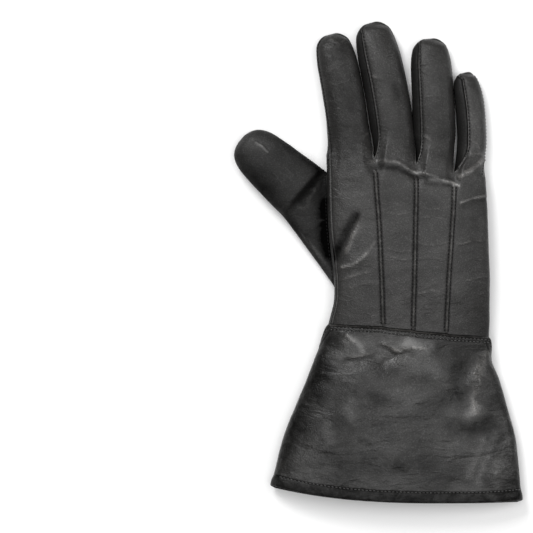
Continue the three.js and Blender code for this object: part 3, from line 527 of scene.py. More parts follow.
# A point of a finger's skin. row: 0 at the crotches, 1 at the tip.
def finger_point(number, column, row):
    column, row = grids(column, row)
    finger = FINGERS[number]
    shape = read_table(FINGER_SHAPE, row)
    angle, line = finger_column(finger, column)
    width = finger["width"] * shape["width"] * mix(finger["root_width"], 1, smooth(row / FINGER_BLEND))
    across, up = tube_offset(angle, width, finger["height"], FINGER_SIDE, shape["height"])
    across = mix(across, line * width / 2, smooth((row - TIP_START) / (1 - TIP_START)))
    slope = finger["lean"] + 4 * finger["bow"] * (1 - 2 * row)
    norm = np.hypot(1, slope)
    bend = finger["lean"] * row + 4 * finger["bow"] * row * (1 - row)
    middle_x = finger["root_x"] * HAND_WIDTH + finger["length"] * bend
    middle_y = finger["root_y"] * HAND_LENGTH + finger["length"] * row
    tube = place(middle_x + across / norm, middle_y - across * slope / norm, up)
    near = np.minimum(row / FINGER_BLEND, 1)
    opened = mix(smooth(near), 1 - (1 - near) ** 2, line ** FLAT_POWER)
    root = finger_root(number, column)
    ahead = finger["length"] * row
    topness = np.interp(column, [BACK_COLUMNS, FINGER_UNDER, FINGER_LEFT, FINGER_COLUMNS], [1, 0, 0, 1])
    root = root + place(0 * ahead, ahead, -FINGER_SLOPE * ahead * topness)
    return mix(root, tube, opened[..., None])


STEP_SLACK = 0.001
TINY = 1e-9
WELDS_PER_MM = 2000


# A row of marks with each space between them cut into equal steps no longer than a given one.
def finer(marks, longest):
    cut = []
    for start, end in zip(marks, marks[1:]):
        count = max(math.ceil((end - start) / longest - STEP_SLACK), 1)
        cut.append(np.linspace(start, end, count, endpoint=False))
    return np.concatenate(cut + [[marks[-1]]])


# Rows from 0 to 1, given as spans: the start and end of each, and its longest step.
def stepped_rows(spans):
    rows = [finer([start, end], longest)[:-1] for start, end, longest in spans]
    return np.concatenate(rows + [[1.0]])


# Directions as long as one.
def unit(directions):
    return directions / np.maximum(np.linalg.norm(directions, axis=-1, keepdims=True), TINY)


# A skin is a list of patches, each a grid of points of one named piece.
def new_skin():
    return {"points": [], "raises": [], "quads": [], "names": [], "count": 0}


# Adds a grid of points. raises: what stands up on the skin there. turned: its faces face the other way.
def add_patch(skin, name, points, raises, turned):
    rows, columns = points.shape[:2]
    index = skin["count"] + np.arange(rows * columns).reshape(rows, columns)
    corners = [index[:-1, :-1], index[1:, :-1], index[1:, 1:], index[:-1, 1:]]
    if turned:
        corners.reverse()
    quads = np.stack(corners, -1).reshape(-1, 4)
    skin["points"].append(points.reshape(-1, 3))
    skin["raises"].append(np.broadcast_to(raises, (rows, columns)).ravel())
    skin["quads"].append(quads)
    skin["names"].extend([name] * len(quads))
    skin["count"] += rows * columns


# Cross product of a face's two diagonals: its direction out of the skin, as long as twice its area.
def face_normals(points, quads):
    first = points[quads[:, 2]] - points[quads[:, 0]]
    second = points[quads[:, 3]] - points[quads[:, 1]]
    return np.cross(first, second)


# Each point's direction out of the skin.
def point_normals(points, quads):
    faces = face_normals(points, quads)
    sums = np.zeros_like(points)
    for corner in range(4):
        np.add.at(sums, quads[:, corner], faces)
    return unit(sums)


# Joins the points of a skin's patches where they fall together.
def weld_skin(skin):
    points = np.concatenate(skin["points"])
    keys = np.round(points * WELDS_PER_MM).astype(np.int64)
    _, first, index = np.unique(keys, axis=0, return_index=True, return_inverse=True)
    quads = index.ravel()[np.concatenate(skin["quads"])]
    points = points[first]
    raises = np.concatenate(skin["raises"])[first]
    return {
        "points": points, "raises": raises, "quads": quads, "names": np.array(skin["names"]),
        "normals": point_normals(points, quads),
    }


# A skin of one patch that closes round on itself.
def tube_skin(name, point_of, columns, rows, turned):
    columns, rows = np.meshgrid(columns, rows)
    points = point_of(columns, rows)
    points[:, -1] = points[:, 0]
    skin = new_skin()
    add_patch(skin, name, points, 0, turned)
    return weld_skin(skin)


# The edges that only one face has: their two ends and that face.
def border_edges(quads):
    start = quads.ravel()
    end = np.roll(quads, -1, axis=1).ravel()
    face = np.repeat(np.arange(len(quads)), 4)
    real = start != end
    start, end, face = start[real], end[real], face[real]
    span = quads.max() + 1
    alone = ~np.isin(start * span + end, end * span + start)
    return start[alone], end[alone], face[alone]


SHUFFLE = (73856093, 19349663, 83492791, 2654435)
SHUFFLE_GAIN = 1103515
SHUFFLE_SHIFT = 12345
SHUFFLE_MASK = 0xFFFFFF


# Smooth random swelling between -1 and 1, with about one swelling to a given size. Each corner of a
# grid of cells gets a height by shuffling the bits of its place.
def swelling(points, size, seed):
    cells = points / size
    low = np.floor(cells).astype(np.int64)
    part = smooth(cells - low)
    total = np.zeros(len(points))
    for corner in np.ndindex(2, 2, 2):
        at = (low + np.array(corner)) * SHUFFLE[:3]
        mixed = at[:, 0] ^ at[:, 1] ^ at[:, 2] ^ (seed * SHUFFLE[3])
        mixed = ((mixed & SHUFFLE_MASK) * SHUFFLE_GAIN + SHUFFLE_SHIFT) & SHUFFLE_MASK
        weight = np.prod(np.where(np.array(corner), part, 1 - part), axis=1)
        total += weight * mixed / SHUFFLE_MASK
    return 2 * total - 1


SEAM_STEP = 0.12
EDGE_ROUND = 0.12


# Keeps a value for each point of a piece, for its finish to read.
def store(piece, label, values):
    piece.data.attributes.new(label, "FLOAT", "POINT").data.foreach_set("value", values)


# One piece of a skin as leather: an outer face, an inner face and a rounded cut edge all round.
# raise_of gives the height of its outer face over the skin, as fine lines, creases and swells, and
# the painted light and shade and other tones of its finish, from its points and their distance in
# from the piece's own edge.
def leather_piece(name, skin, raise_of, lift, thickness, materials):
    quads = skin["quads"][skin["names"] == name]
    used, quads = np.unique(quads, return_inverse=True)
    quads = quads.reshape(-1, 4)
    points = skin["points"][used]
    normals = skin["normals"][used]
    start, end, face = border_edges(quads)
    along = points[end] - points[start]
    inward = unit(np.cross(face_normals(points, quads)[face], along))
    steps = np.zeros_like(points)
    np.add.at(steps, start, inward)
    np.add.at(steps, end, inward)
    steps = unit(steps)
    border = np.unique(np.concatenate([start, end]))
    tree = KDTree(len(border))
    for number in border:
        tree.insert(points[number], int(number))
    tree.balance()
    from_edge = np.array([tree.find(point)[2] for point in points])
    lines, creases, swells, painted_light_and_tones = raise_of(points, from_edge)
    lines = skin["raises"][used] + lines
    raised = lines + creases + swells
    walls = thickness(points)
    outer = points + normals * (lift + raised)[:, None] + steps * SEAM_STEP
    inner = outer - normals * walls[:, None]
    rim = (outer[border] + inner[border]) / 2 - steps[border] * EDGE_ROUND
    rim_index = np.zeros(len(points), np.int64)
    rim_index[border] = 2 * len(points) + np.arange(len(border))
    inner_index = len(points)
    upper_edge = np.stack([end, start, rim_index[start], rim_index[end]], -1)
    lower_edge = np.stack([rim_index[end], rim_index[start], inner_index + start, inner_index + end], -1)
    faces = np.concatenate([quads, upper_edge, lower_edge, quads[:, ::-1] + inner_index])
    hidden = np.repeat([0, 1], [len(quads) + len(upper_edge), len(lower_edge) + len(quads)])
    corners = np.concatenate([outer, inner, rim])
    piece = new_piece(name + "_leather", corners, faces, materials, hidden)
    # Kept for the finish, which paints shade and highlights from the lines, the creases and the painted
    # light.
    kept = {"lines": lines, "creases": creases, "painted_light_and_tones": painted_light_and_tones, "from_edge": from_edge}
    for label, values in kept.items():
        store(piece, label, np.concatenate([values, values, values[border]]))
    surface = BVHTree.FromPolygons(outer.tolist(), quads.tolist())
    return piece, surface


SHARP_ANGLE = 55


# A piece from its points in millimetres, its faces of three or four corners, and each face's material.
# No point is let below the table.
def new_piece(name, points, faces, materials, slots):
    keep = faces != np.roll(faces, -1, axis=1)
    whole = keep.sum(axis=1) > 2
    faces, keep, slots = faces[whole], keep[whole], slots[whole]
    counts = keep.sum(axis=1)
    mesh = bpy.data.meshes.new(name)
    mesh.vertices.add(len(points))
    spots = (points + GLOVE_SHIFT) * METRE
    spots[:, 2] = np.maximum(spots[:, 2], 0)
    mesh.vertices.foreach_set("co", spots.ravel())
    mesh.loops.add(int(counts.sum()))
    mesh.loops.foreach_set("vertex_index", faces[keep].astype(np.int32))
    mesh.polygons.add(len(faces))
    mesh.polygons.foreach_set("loop_start", (np.cumsum(counts) - counts).astype(np.int32))
    mesh.polygons.foreach_set("material_index", slots.astype(np.int32))
    mesh.update(calc_edges=True)
    mesh.shade_smooth()
    mesh.set_sharp_from_angle(angle=math.radians(SHARP_ANGLE))
    for material in materials:
        mesh.materials.append(material)
    piece = bpy.data.objects.new(name, mesh)
    bpy.context.scene.collection.objects.link(piece)
    return piece


HAND_MARKS = [0, 0.05, 0.11, 0.19, 0.31, 0.43, 0.55, 0.67, 0.79, 0.91, 0.93, 0.95, 0.975, 1]
HAND_STEP = 0.0086
FINGER_STEP = 0.0125
TIP_STEP = FINGER_STEP / 3
TIP_ROWS = 0.9
SEAM_SHARES = np.array([0, 0.06, 0.12, 0.19, 0.28, 0.4, 0.55, 0.7, 0.85])
OPEN_STEP = 1 / 7


# Columns across one finger, or down a side, closer together beside the seams.
def seamed_columns(count):
    edge_end = count - SEAM_SHARES[1:][::-1]
    inside = finer(np.arange(1, count), OPEN_STEP) if count > 2 else np.array([1.0])
    return np.concatenate([SEAM_SHARES, inside, edge_end, [count]])


across_finger = seamed_columns(BACK_COLUMNS)
down_side = seamed_columns(SIDE_COLUMNS)


# One row of columns from those of each span, end to end.
def columns_round(spans):
    columns = []
    at = 0
    for span in spans:
        columns.append(at + span[:-1])
        at += span[-1]
    return np.concatenate(columns + [[at]])


hand_columns = columns_round(([across_finger] * FINGER_COUNT + [down_side]) * 2)
finger_columns = columns_round([across_finger, down_side, across_finger, down_side])
hand_rows = finer(HAND_MARKS, HAND_STEP)
finger_rows = stepped_rows([(0, TIP_ROWS, FINGER_STEP), (TIP_ROWS, 1, TIP_STEP)])

TUCK_RIDGE = 0.85
TUCK_STITCH = 1.35
TUCK_DITCH = 0.35
TUCK_DITCH_REACH = 0.45


# The three tucks: a narrow ridge between two sunk rows of stitches.
def tuck_raise(column, row):
    x = hand_point(column, row)[..., 0]
    raised = 0
    for number in range(1, FINGER_COUNT):
        away = x - hand_point(number * BACK_COLUMNS, row)[..., 0]
        raised = raised + TUCK_HEIGHT * ridge(away, TUCK_RIDGE)
        raised = raised - TUCK_DITCH * ridge(np.abs(away) - TUCK_STITCH, TUCK_DITCH_REACH)
    return raised * in_window(TUCK_WINDOW, row) * (column <= BACK_END)


GUSSETS = ["fourchette_index_middle", "fourchette_middle_ring", "fourchette_ring_little"]
TOUCHING = 1e-6


# Whether marks lie between two others or on them.
def between(marks, first, last):
    return (marks > first - TOUCHING) & (marks < last + TOUCHING)


# The back, the palm with the thumb's hole in it, and the four fingers as one skin.
def hand_skin():
    skin = new_skin()
    columns, rows = np.meshgrid(hand_columns, hand_rows)
    points = hand_point(columns, rows)
    raises = tuck_raise(columns, rows)
    panels = [
        ("back_panel", 0, PALM_START, 0, 1),
        ("palm_panel", PALM_START, HOLE_FIRST, 0, 1),
        ("palm_panel", HOLE_FIRST, PALM_END, 0, HOLE_START),
        ("palm_panel", HOLE_FIRST, PALM_END, HOLE_END, 1),
        ("palm_panel", PALM_END, COLUMNS, 0, 1),
    ]
    for name, first, last, top, bottom in panels:
        across = np.flatnonzero(between(hand_columns, first, last))
        down = np.flatnonzero(between(hand_rows, top, bottom))
        patch = np.ix_(down, across)
        shape = points[patch]
        if last == COLUMNS:
            shape[:, -1] = points[down][:, 0]
        add_patch(skin, name, shape, raises[patch], False)
    for number in range(FINGER_COUNT):
        columns, rows = np.meshgrid(finger_columns, finger_rows)
        points_of_finger = finger_point(number, columns, rows)
        points_of_finger[:, -1] = points_of_finger[:, 0]
        spans = [
            ("back_panel", 0, BACK_COLUMNS),
            ((GUSSETS + ["back_panel"])[number], BACK_COLUMNS, FINGER_UNDER),
            ("palm_panel", FINGER_UNDER, FINGER_LEFT),
            ((["palm_panel"] + GUSSETS)[number], FINGER_LEFT, FINGER_COLUMNS),
        ]
        for name, first, last in spans:
            add_patch(skin, name, points_of_finger[:, between(finger_columns, first, last)], 0, True)
    return weld_skin(skin)


hand = hand_skin()

# The back's cut edge is sewn down over the fourchettes and stands up as a thin lip, with a row of
# stitches in a shallow ditch beside it.
LIP_HEIGHT = 0.38
LIP_PLACE = 0.6
LIP_REACH = 0.35
STITCH_IN = 1.6
STITCH_DITCH = 0.22
STITCH_DITCH_REACH = 0.45


def sewn_edge(from_edge, lip=LIP_HEIGHT):
    ditch = STITCH_DITCH * ridge(from_edge - STITCH_IN, STITCH_DITCH_REACH)
    return lip * ridge(from_edge - LIP_PLACE, LIP_REACH) - ditch


# Fine folds and creases of the back: half width and height in millimetres, then the points it runs
# through, in millimetres from the middle of the wrist seam.
BACK_CREASES = [
    (1.5, 0.5, [(-26.9, 115.2), (-15.9, 116.2), (-6.2, 115.2), (-0.7, 111.1)]),
    (0.9, 0.6, [(-0.7, 111.1), (6.2, 107.9), (12.5, 107.4)]),
    (0.8, 0.4, [(12.5, 107.4), (21, 104.9), (30, 103.2)]),
    (0.85, 0.6, [(15.9, 103.7), (23, 103.2), (29.7, 102.1), (35.2, 99.2)]),
    (1.4, 0.7, [(35.2, 105.5), (43.5, 110.0), (53.1, 118.2)]),
    (2.2, -0.5, [(-20, 112.5), (-6.2, 111.5), (2, 107), (14, 104.8), (30, 103.9)]),
    (0.8, 0.5, [(36.6, 87.6), (45, 90.6), (53.8, 92.3)]),
    (1.8, -0.35, [(38, 85.2), (46, 88.3), (54, 89.8)]),
    (0.7, 0.46, [(33.8, 59.0), (43, 61.2), (54.5, 62.0)]),
    (0.7, 0.27, [(40.7, 34.5), (55.9, 37.3)]),
    (0.9, 0.5, [(-44.9, 43.5), (-38.5, 44.9), (-32.4, 48.6), (-27, 54), (-22.8, 60.9)]),
    (3.0, -0.9, [(-35.5, 78.5), (-39, 73), (-43, 66.5), (-47, 58.5), (-50, 49.7)]),
    (2.0, 0.45, [(-32.5, 77), (-36, 70), (-38.7, 64), (-42.5, 54)]),
    (0.8, 0.38, [(-45, 35), (-36, 38), (-28, 40)]),
    (0.7, 0.3, [(-40, 29), (-31, 32), (-24, 33)]),
    (0.7, 0.3, [(-18, 87), (-10, 85.6), (0, 87.2)]),
    (0.7, 0.34, [(-17, 81.5), (-6, 79.8), (2, 81.4)]),
    (0.7, 0.28, [(-14, 56.6), (-6, 54), (3, 54.8)]),
    (0.7, 0.34, [(-13, 51), (-4, 48.6), (3.4, 49.4)]),
    (0.7, 0.3, [(7, 85), (18, 83.5), (29, 85)]),
    (0.7, 0.28, [(6.5, 77.2), (16, 78.6), (26, 76)]),
    (0.7, 0.3, [(6, 60), (14, 58.6), (26, 60.3)]),
    (0.7, 0.28, [(5.6, 49), (15, 50.6), (25, 48.6)]),
    (0.8, 0.3, [(7, 25), (16, 27.5), (24, 26)]),
    (0.9, 0.3, [(-24.5, 9.7), (-21.5, 10.2)]),
    (0.9, 0.38, [(-30.5, 133.5), (-27, 135.5)]),
    (0.8, 0.42, [(-24.2, 174.6), (-17.3, 172.6)]),
    (0.8, 0.46, [(8.3, 135), (15.9, 131)]),
    (0.8, 0.3, [(42.1, 131.4), (48, 128.6), (53.2, 116.2)]),
    (0.8, 0.46, [(43, 122), (50.5, 121)]),
    (0.7, 0.38, [(-53, 201), (-46, 197), (-42.5, 200.5)]),
]
# Painted light and shade: a painted highlight above zero, such as the bright broken line along the
# knuckle crease, and painted shade below zero, such as the dark wedge of the fold by the thumb and the
# darker side by the little finger: half width, amount and line.
BACK_PAINTED_LIGHT = [
    (12, -0.2, [(49, 89.7), (50.4, 6.9)]),
    (13, 0.15, [(-42, 27), (-36, 60)]),
    (13, -0.36, [(-49.7, 190), (-42, 124.2)]),
    (12, -0.14, [(23, 190), (23, 130)]),
    (12, -0.1, [(-16, 190), (-8, 130)]),
    (9, 0.22, [(49, 158), (47, 124)]),
    (4, -0.35, [(-8.5, 168), (-7, 161)]),
    (1.0, -0.35, [(-34.5, 80), (-38, 74)]),
    (2.1, -0.5, [(-38.5, 73.5), (-41.5, 68.5), (-46, 60), (-50, 50)]),
    (4.6, -0.32, [(-43, 72), (-47, 65), (-50, 56)]),
    (2.6, 0.25, [(-33.5, 73), (-36.5, 66), (-41.5, 56)]),
    (0.9, 1.7, [(-44.9, 43.5), (-38.5, 44.9), (-35.5, 46.6)]),
    (1.0, 0.8, [(-35, 47), (-32.4, 48.6), (-28, 53)]),
    (1.1, 0.7, [(-9, 115.6), (-0.7, 111.1), (6.2, 107.9)]),
    (0.9, 1.7, [(4.5, 108.6), (9, 107.6), (13, 107.5)]),
    (0.8, 0.7, [(13, 107.5), (21, 105)]),
    (0.9, 0.7, [(15.9, 103.7), (24, 102.8)]),
    (1.0, 1.5, [(25, 102.6), (30, 101.8), (35.2, 99.2)]),
    (1.6, -0.45, [(-20, 112), (-6.2, 111.2), (1, 107), (12, 104.9)]),
    (1.4, -0.4, [(12, 100.8), (28, 99.4)]),
    (1.3, 0.8, [(35.2, 105.5), (43.5, 110.0), (52, 117.5)]),
    (0.9, 0.9, [(36.6, 87.6), (45, 90.6), (53.8, 92.3)]),
]
# Swells of the leather: size and height in millimetres, and a number that places them.
BACK_SWELLS = [(26, 0.35, 3), (12, 0.2, 5), (5.5, 0.07, 11)]
# How far in from a sewn edge the leather is held flat.
HELD_FLAT = 4


# How high a table of creases, or how strong a table of painted light and shade, is at each point.
def crease_height(points, creases):
    return folds_rise(points[:, 0], points[:, 1], creases)


# How high all the swells of a table stand at each point.
def swell_height(points, sizes):
    total = np.zeros(len(points))
    for size, height, seed in sizes:
        total += height * swelling(points, size, seed)
    return total


# What stands up on the back, and its painted light and shade, as leather_piece asks for them.
def back_raise(points, from_edge):
    creases = crease_height(points, BACK_CREASES)
    swells = smooth(from_edge / HELD_FLAT) * swell_height(points, BACK_SWELLS)
    return sewn_edge(from_edge), creases, swells, crease_height(points, BACK_PAINTED_LIGHT)


# How the small folds and the worn places lie on the leather: turned, and drawn out along their length.
FOLD_TURN = 0.12
WEAR_TURN = -0.9
FOLD_STRETCH = 0.5
# Noises of the finish: cells to a metre, detail, roughness and twist, then the part that is used.
LEATHER_NOISES = {
    "broken": (240.0, 3.0, 0.65, 0.0, 0.42, 0.6),
    "uneven": (95.0, 3.0, 0.6, 0.8, 0.3, 0.7),
    "flecks": (1250.0, 2.0, 0.5, 0.0, 0.5, 0.72),
    "wear": (34.0, 4.0, 0.6, 0.5, 0.32, 0.68),
    "patches": (45.0, 4.0, 0.6, 0.0, 0.35, 0.65),
    "gloss": (70.0, 4.0, 0.65, 0.6, 0.32, 0.68),
    "dents": (62.0, 3.0, 0.5, 0.6, 0.0, 1.0),
    "finer_dents": (170.0, 3.0, 0.5, 0.5, 0.0, 1.0),
    "cracked": (55.0, 2.0, 0.5, 0.0, 0.45, 0.6),
    "grain": (1500.0, 2.0, 0.6, 0.0, 0.0, 1.0),
}
# What stored heights and other measures are turned into: from low and high, to low and high.
LEATHER_RANGES = {
    "painted_shade_in_lines": (-0.3, 0.0, 0.4, 1.0),
    "painted_shade_in_creases": (-0.7, 0.0, 0.5, 1.0),
    "raised": (0.08, 0.4, 0.0, 1.0),
    "cut_edge": (0.05, 0.4, 0.1, 1.0),
    "painted_light_and_tone": (-0.95, 2.0, 0.05, 3.0),
    "worn_and_painted_highlight": (0.0, 1.0, 0.0, 2.5),
    "polish": (0.0, 1.0, 0.0, 0.16),
    "net": (0.0, 0.14, 1.0, 0.0),
}
# How much the rubbing with its painted highlights, and the painted light and tones, are broken up, and
# how much lighter the flecks and patches are.
HIGHLIGHT_AND_RUB_GAPS = (0.1, 1.25)
TONE_GAPS = (0.45, 1.45)
FLECK_LIGHT = 0.616
PATCH_LIGHT = 0.6
BRIGHTEST = 3.0
FINER_SHARE = 0.22
# The net of fine cracks and the pores: cells to a metre, and how much their edges are bent.
NET_CELLS = 120.0
PORE_CELLS = 950.0
PORE_REACH = 0.7
CELL_BEND = 1.2
BEND_CELLS = 0.6


# Leather as a finish. Heights are in millimetres. It reads what each piece stores: where lines and creases
# stand up they are rubbed smooth and painted lighter, as wear and painted highlight, and where they go in
# they are painted darker as painted shade; the stored painted light and tones are painted highlights and
# painted shade, with some lighter and darker patches. patchy, mottle, dents, wrinkles and grain say how
# strong each noise is.
def leather_finish(name, dark, light, sheen, patchy, roughness, mottle, dents, wrinkles, grain):
    material, tree, shader = new_material(name)
    where = tree.nodes.new("ShaderNodeTexCoord").outputs["Object"]

    def new_node(kind, settings):
        return fill_in(tree, tree.nodes.new(kind), settings)

    def turned(turn):
        settings = {"Rotation": (0.0, 0.0, turn), "Scale": (FOLD_STRETCH, 1.0, 1.0), "Vector": where}
        return new_node("ShaderNodeMapping", settings).outputs["Vector"]

    def remap(value, low, high, to_low, to_high):
        settings = {"Value": value, "From Min": low, "From Max": high, "To Min": to_low, "To Max": to_high}
        return new_node("ShaderNodeMapRange", settings).outputs["Result"]

    def ranged(label, value):
        return remap(value, *LEATHER_RANGES[label])

    def noise(label, to_low, to_high, where=where):
        *shape, low, high = LEATHER_NOISES[label]
        settings = dict(zip(("Scale", "Detail", "Roughness", "Distortion"), shape))
        settings["Vector"] = where
        return remap(new_node("ShaderNodeTexNoise", settings).outputs["Fac"], low, high, to_low, to_high)

    def combine(operation, total, *values):
        for value in values:
            step = tree.nodes.new("ShaderNodeMath")
            step.operation = operation
            total = fill_in(tree, step, {0: total, 1: value}).outputs["Value"]
        return total

    def scaled(vector, size):
        step = tree.nodes.new("ShaderNodeVectorMath")
        step.operation = "SCALE"
        return fill_in(tree, step, {0: vector, "Scale": size}).outputs["Vector"]

    def cells(scale, feature, where=where):
        shift = new_node("ShaderNodeTexNoise", {"Scale": scale * BEND_CELLS, "Vector": where})
        bend = scaled(shift.outputs["Color"], CELL_BEND / scale)
        bent = new_node("ShaderNodeMixRGB", {"Fac": 1.0, "Color1": where, "Color2": bend})
        bent.blend_type = "ADD"
        found = new_node("ShaderNodeTexVoronoi", {"Scale": scale, "Vector": bent.outputs["Color"]})
        found.feature = feature
        return found.outputs["Distance"]

    def stored(label):
        attribute = tree.nodes.new("ShaderNodeAttribute")
        attribute.attribute_name = label
        return attribute.outputs["Fac"]

    stretched = turned(FOLD_TURN)
    lines = stored("lines")
    creases = stored("creases")
    # Where lines and creases stand up, broken up: the leather is polished there, and its colour is made
    # lighter, partly as wear and partly as a painted highlight.
    raised = ranged("raised", combine("ADD", lines, creases))
    rubbed_and_highlit = combine("MULTIPLY", raised, noise("broken", *HIGHLIGHT_AND_RUB_GAPS))
    # The stored painted light and tones, broken up: painted highlights above zero, painted shade below.
    painted_light_and_tone = ranged("painted_light_and_tone", combine("MULTIPLY", stored("painted_light_and_tones"), noise("uneven", *TONE_GAPS)))
    # Painted shade where lines and creases go in, times the painted light and tones, a darker cut edge, and
    # flecks and patches of the grain: this scales both the colour and the sheen.
    painted_light_and_mottle = combine(
        "MULTIPLY", ranged("painted_shade_in_lines", lines), ranged("painted_shade_in_creases", creases),
        ranged("cut_edge", stored("from_edge")), painted_light_and_tone, noise("flecks", 1.0, 1.0 + FLECK_LIGHT),
        noise("wear", 1.0 - patchy, 1.0 + patchy, turned(WEAR_TURN)))

    colour = tree.nodes.new("ShaderNodeMix")
    colour.data_type = "RGBA"
    colour.clamp_factor = False
    # Random lighter patches, plus the wear and painted highlights on raised lines and creases.
    patches = combine("ADD", noise("patches", 0.0, PATCH_LIGHT), ranged("worn_and_painted_highlight", rubbed_and_highlit))
    fill_in(tree, colour, {"A": (*dark, 1.0), "B": (*light, 1.0), "Factor": patches})

    gloss = noise("gloss", roughness - mottle, roughness + mottle)
    net = ranged("net", cells(NET_CELLS, "DISTANCE_TO_EDGE", stretched))
    cracks = remap(combine("MULTIPLY", net, noise("cracked", 0.0, 1.0)), 0.0, 1.0, 0.0, wrinkles)
    pores = remap(cells(PORE_CELLS, "F1"), 0.0, PORE_REACH, grain, 0.0)
    finer_dents = noise("finer_dents", 0.0, dents * FINER_SHARE, stretched)
    height = combine(
        "ADD", noise("dents", 0.0, dents, stretched), finer_dents, cracks, pores, noise("grain", 0.0, grain))
    bump = new_node("ShaderNodeBump", {"Distance": METRE, "Height": height})

    shader.inputs["Specular IOR Level"].default_value = sheen
    fill_in(tree, shader, {
        "Base Color": scaled(colour.outputs["Result"], painted_light_and_mottle),
        "Roughness": combine("SUBTRACT", gloss, ranged("polish", rubbed_and_highlit)),
        "Specular IOR Level": remap(painted_light_and_mottle, 0.0, BRIGHTEST, 0.0, BRIGHTEST * sheen),
        "Normal": bump.outputs["Normal"],
    })
    return material


back_leather = leather_finish(
    "back_leather", dark=(0.0145, 0.014, 0.0135), light=(0.026, 0.025, 0.024), sheen=0.27, patchy=0.16,
    roughness=0.42, mottle=0.07, dents=1.1, wrinkles=0.12, grain=0.08)
flesh_side = leather_finish(
    "flesh_side", dark=(0.03, 0.0285, 0.027), light=(0.045, 0.0425, 0.04), sheen=0.2, patchy=0.1,
    roughness=0.85, mottle=0.05, dents=0.3, wrinkles=0.02, grain=0.08)


# The same wall everywhere.
def even_wall(points):
    return np.full(len(points), float(LEATHER))


back_panel, back_surface = leather_piece(
    "back_panel", hand, back_raise, 0, even_wall, [back_leather, flesh_side])
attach(back_panel, "root")
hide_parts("back_panel")

# Stitching
# Seams in waxed black thread. Each stitch is a short piece of it that comes up out of the leather and
# goes down into it again.
THREAD_RADIUS = 0.33
STITCH_SIDES = 6
# How high the thread lies over the leather at each share of a stitch's length.
STITCH_RISE = np.array([-0.3, 0.1, 0.16, 0.1, -0.3])
STITCH_SHARES = np.array([0, 0.18, 0.5, 0.82, 1])
TWIST_CELLS = 2500.0
TWIST_STRENGTH = 0.5
TWIST_DEPTH = 0.0001
# Length of a stitch and of the step from one to the next, in millimetres.
FINE_STITCH = (1.6, 2.4)


# Thread as a finish, with the bumps of its twist.
def waxed_thread(name, colour, roughness, sheen):
    material, tree, shader = new_material(name)
    twist = fill_in(tree, tree.nodes.new("ShaderNodeTexNoise"), {"Scale": TWIST_CELLS})
    bump = fill_in(tree, tree.nodes.new("ShaderNodeBump"), {
        "Strength": TWIST_STRENGTH, "Distance": TWIST_DEPTH, "Height": twist.outputs["Fac"],
    })
    fill_in(tree, shader, {
        "Base Color": (*colour, 1.0), "Roughness": roughness, "Specular IOR Level": sheen,
        "Normal": bump.outputs["Normal"],
    })
    return material


black_thread = waxed_thread("black_thread", (0.003, 0.003, 0.003), roughness=0.75, sheen=0.2)


# Points of a round bead along a line, a ring round each of its centres.
def bead_points(centres, along, up, radius, sides):
    side = unit(np.cross(along, up))[..., None, :]
    turn = np.linspace(0, 2 * np.pi, sides, endpoint=False)[:, None]
    ring = side * np.cos(turn) + up[..., None, :] * np.sin(turn)
    return (centres[:, None] + ring * radius).reshape(-1, 3)


# Stitches on a surface along each seam's path, all as one piece.
def sew(name, seams, stitch, yarn):
    length, pitch = stitch
    corners, faces = [], []
    first = 0
    for surface, path in seams:
        steps = np.linalg.norm(np.diff(path, axis=0), axis=1)
        run = np.concatenate([[0], np.cumsum(steps)])
        for begin in np.arange(pitch / 2, run[-1] - length, pitch):
            at = begin + STITCH_SHARES * length
            line = np.stack([np.interp(at, run, path[:, axis]) for axis in range(3)], -1)
            met = [surface.find_nearest(point) for point in line]
            on = np.array([hit[0] for hit in met])
            up = np.array(met[2][1])
            centres = on + up * STITCH_RISE[:, None]
            corners.append(bead_points(centres, on[-1] - on[0], up, THREAD_RADIUS, STITCH_SIDES))
            index = first + np.arange(len(corners[-1])).reshape(-1, STITCH_SIDES)
            first += len(corners[-1])
            ahead = np.roll(index, -1, axis=1)
            faces.append(np.stack([index[:-1], ahead[:-1], ahead[1:], index[1:]], -1).reshape(-1, 4))
            for cap in (index[0][::-1], index[-1]):
                faces.append(np.array([[cap[0], cap[1], cap[2], cap[3]], [cap[0], cap[3], cap[4], cap[5]]]))
    faces = np.concatenate(faces)
    thread = new_piece(name, np.concatenate(corners), faces, [yarn], np.zeros(len(faces), int))
    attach(thread, "root")


# How far in from a finger's side its seam runs, in columns, and the rows at which a seam is sampled.
SEAM_COLUMN = 0.29
STITCH_ROWS = np.linspace(0.01, 0.975, 120)
TUCK_ROWS = np.linspace(0.078, 0.935, 160)


# A path moved sideways to its left, level with the table.
def on_side_of(path, away):
    forward = np.gradient(path, axis=0)
    side = unit(np.stack([-forward[:, 1], forward[:, 0], 0 * forward[:, 0]], -1))
    return path + side * away


back_seams = []
for number in range(FINGER_COUNT):
    for column in (SEAM_COLUMN, BACK_COLUMNS - SEAM_COLUMN):
        back_seams.append((back_surface, finger_point(number, column, STITCH_ROWS)))
for number in range(1, FINGER_COUNT):
    tuck = hand_point(number * BACK_COLUMNS, TUCK_ROWS)
    for side in (-TUCK_STITCH, TUCK_STITCH):
        back_seams.append((back_surface, on_side_of(tuck, side)))
sew("back_stitches", back_seams, FINE_STITCH, black_thread)

# Palm and undersides of the fingers
# One skin of the same leather, set in at the sides. It is gathered by elastic inside the wrist, and
# it has the hole into which the thumb is set.
PALM_SWELLS = [(22, 0.3, 17), (9, 0.16, 19), (4.5, 0.06, 23)]
PALM_LIP = 0.12


def palm_raise(points, from_edge):
    swells = smooth(from_edge / HELD_FLAT) * swell_height(points, PALM_SWELLS)
    plain = np.zeros(len(points))
    return sewn_edge(from_edge, PALM_LIP), plain, swells, plain


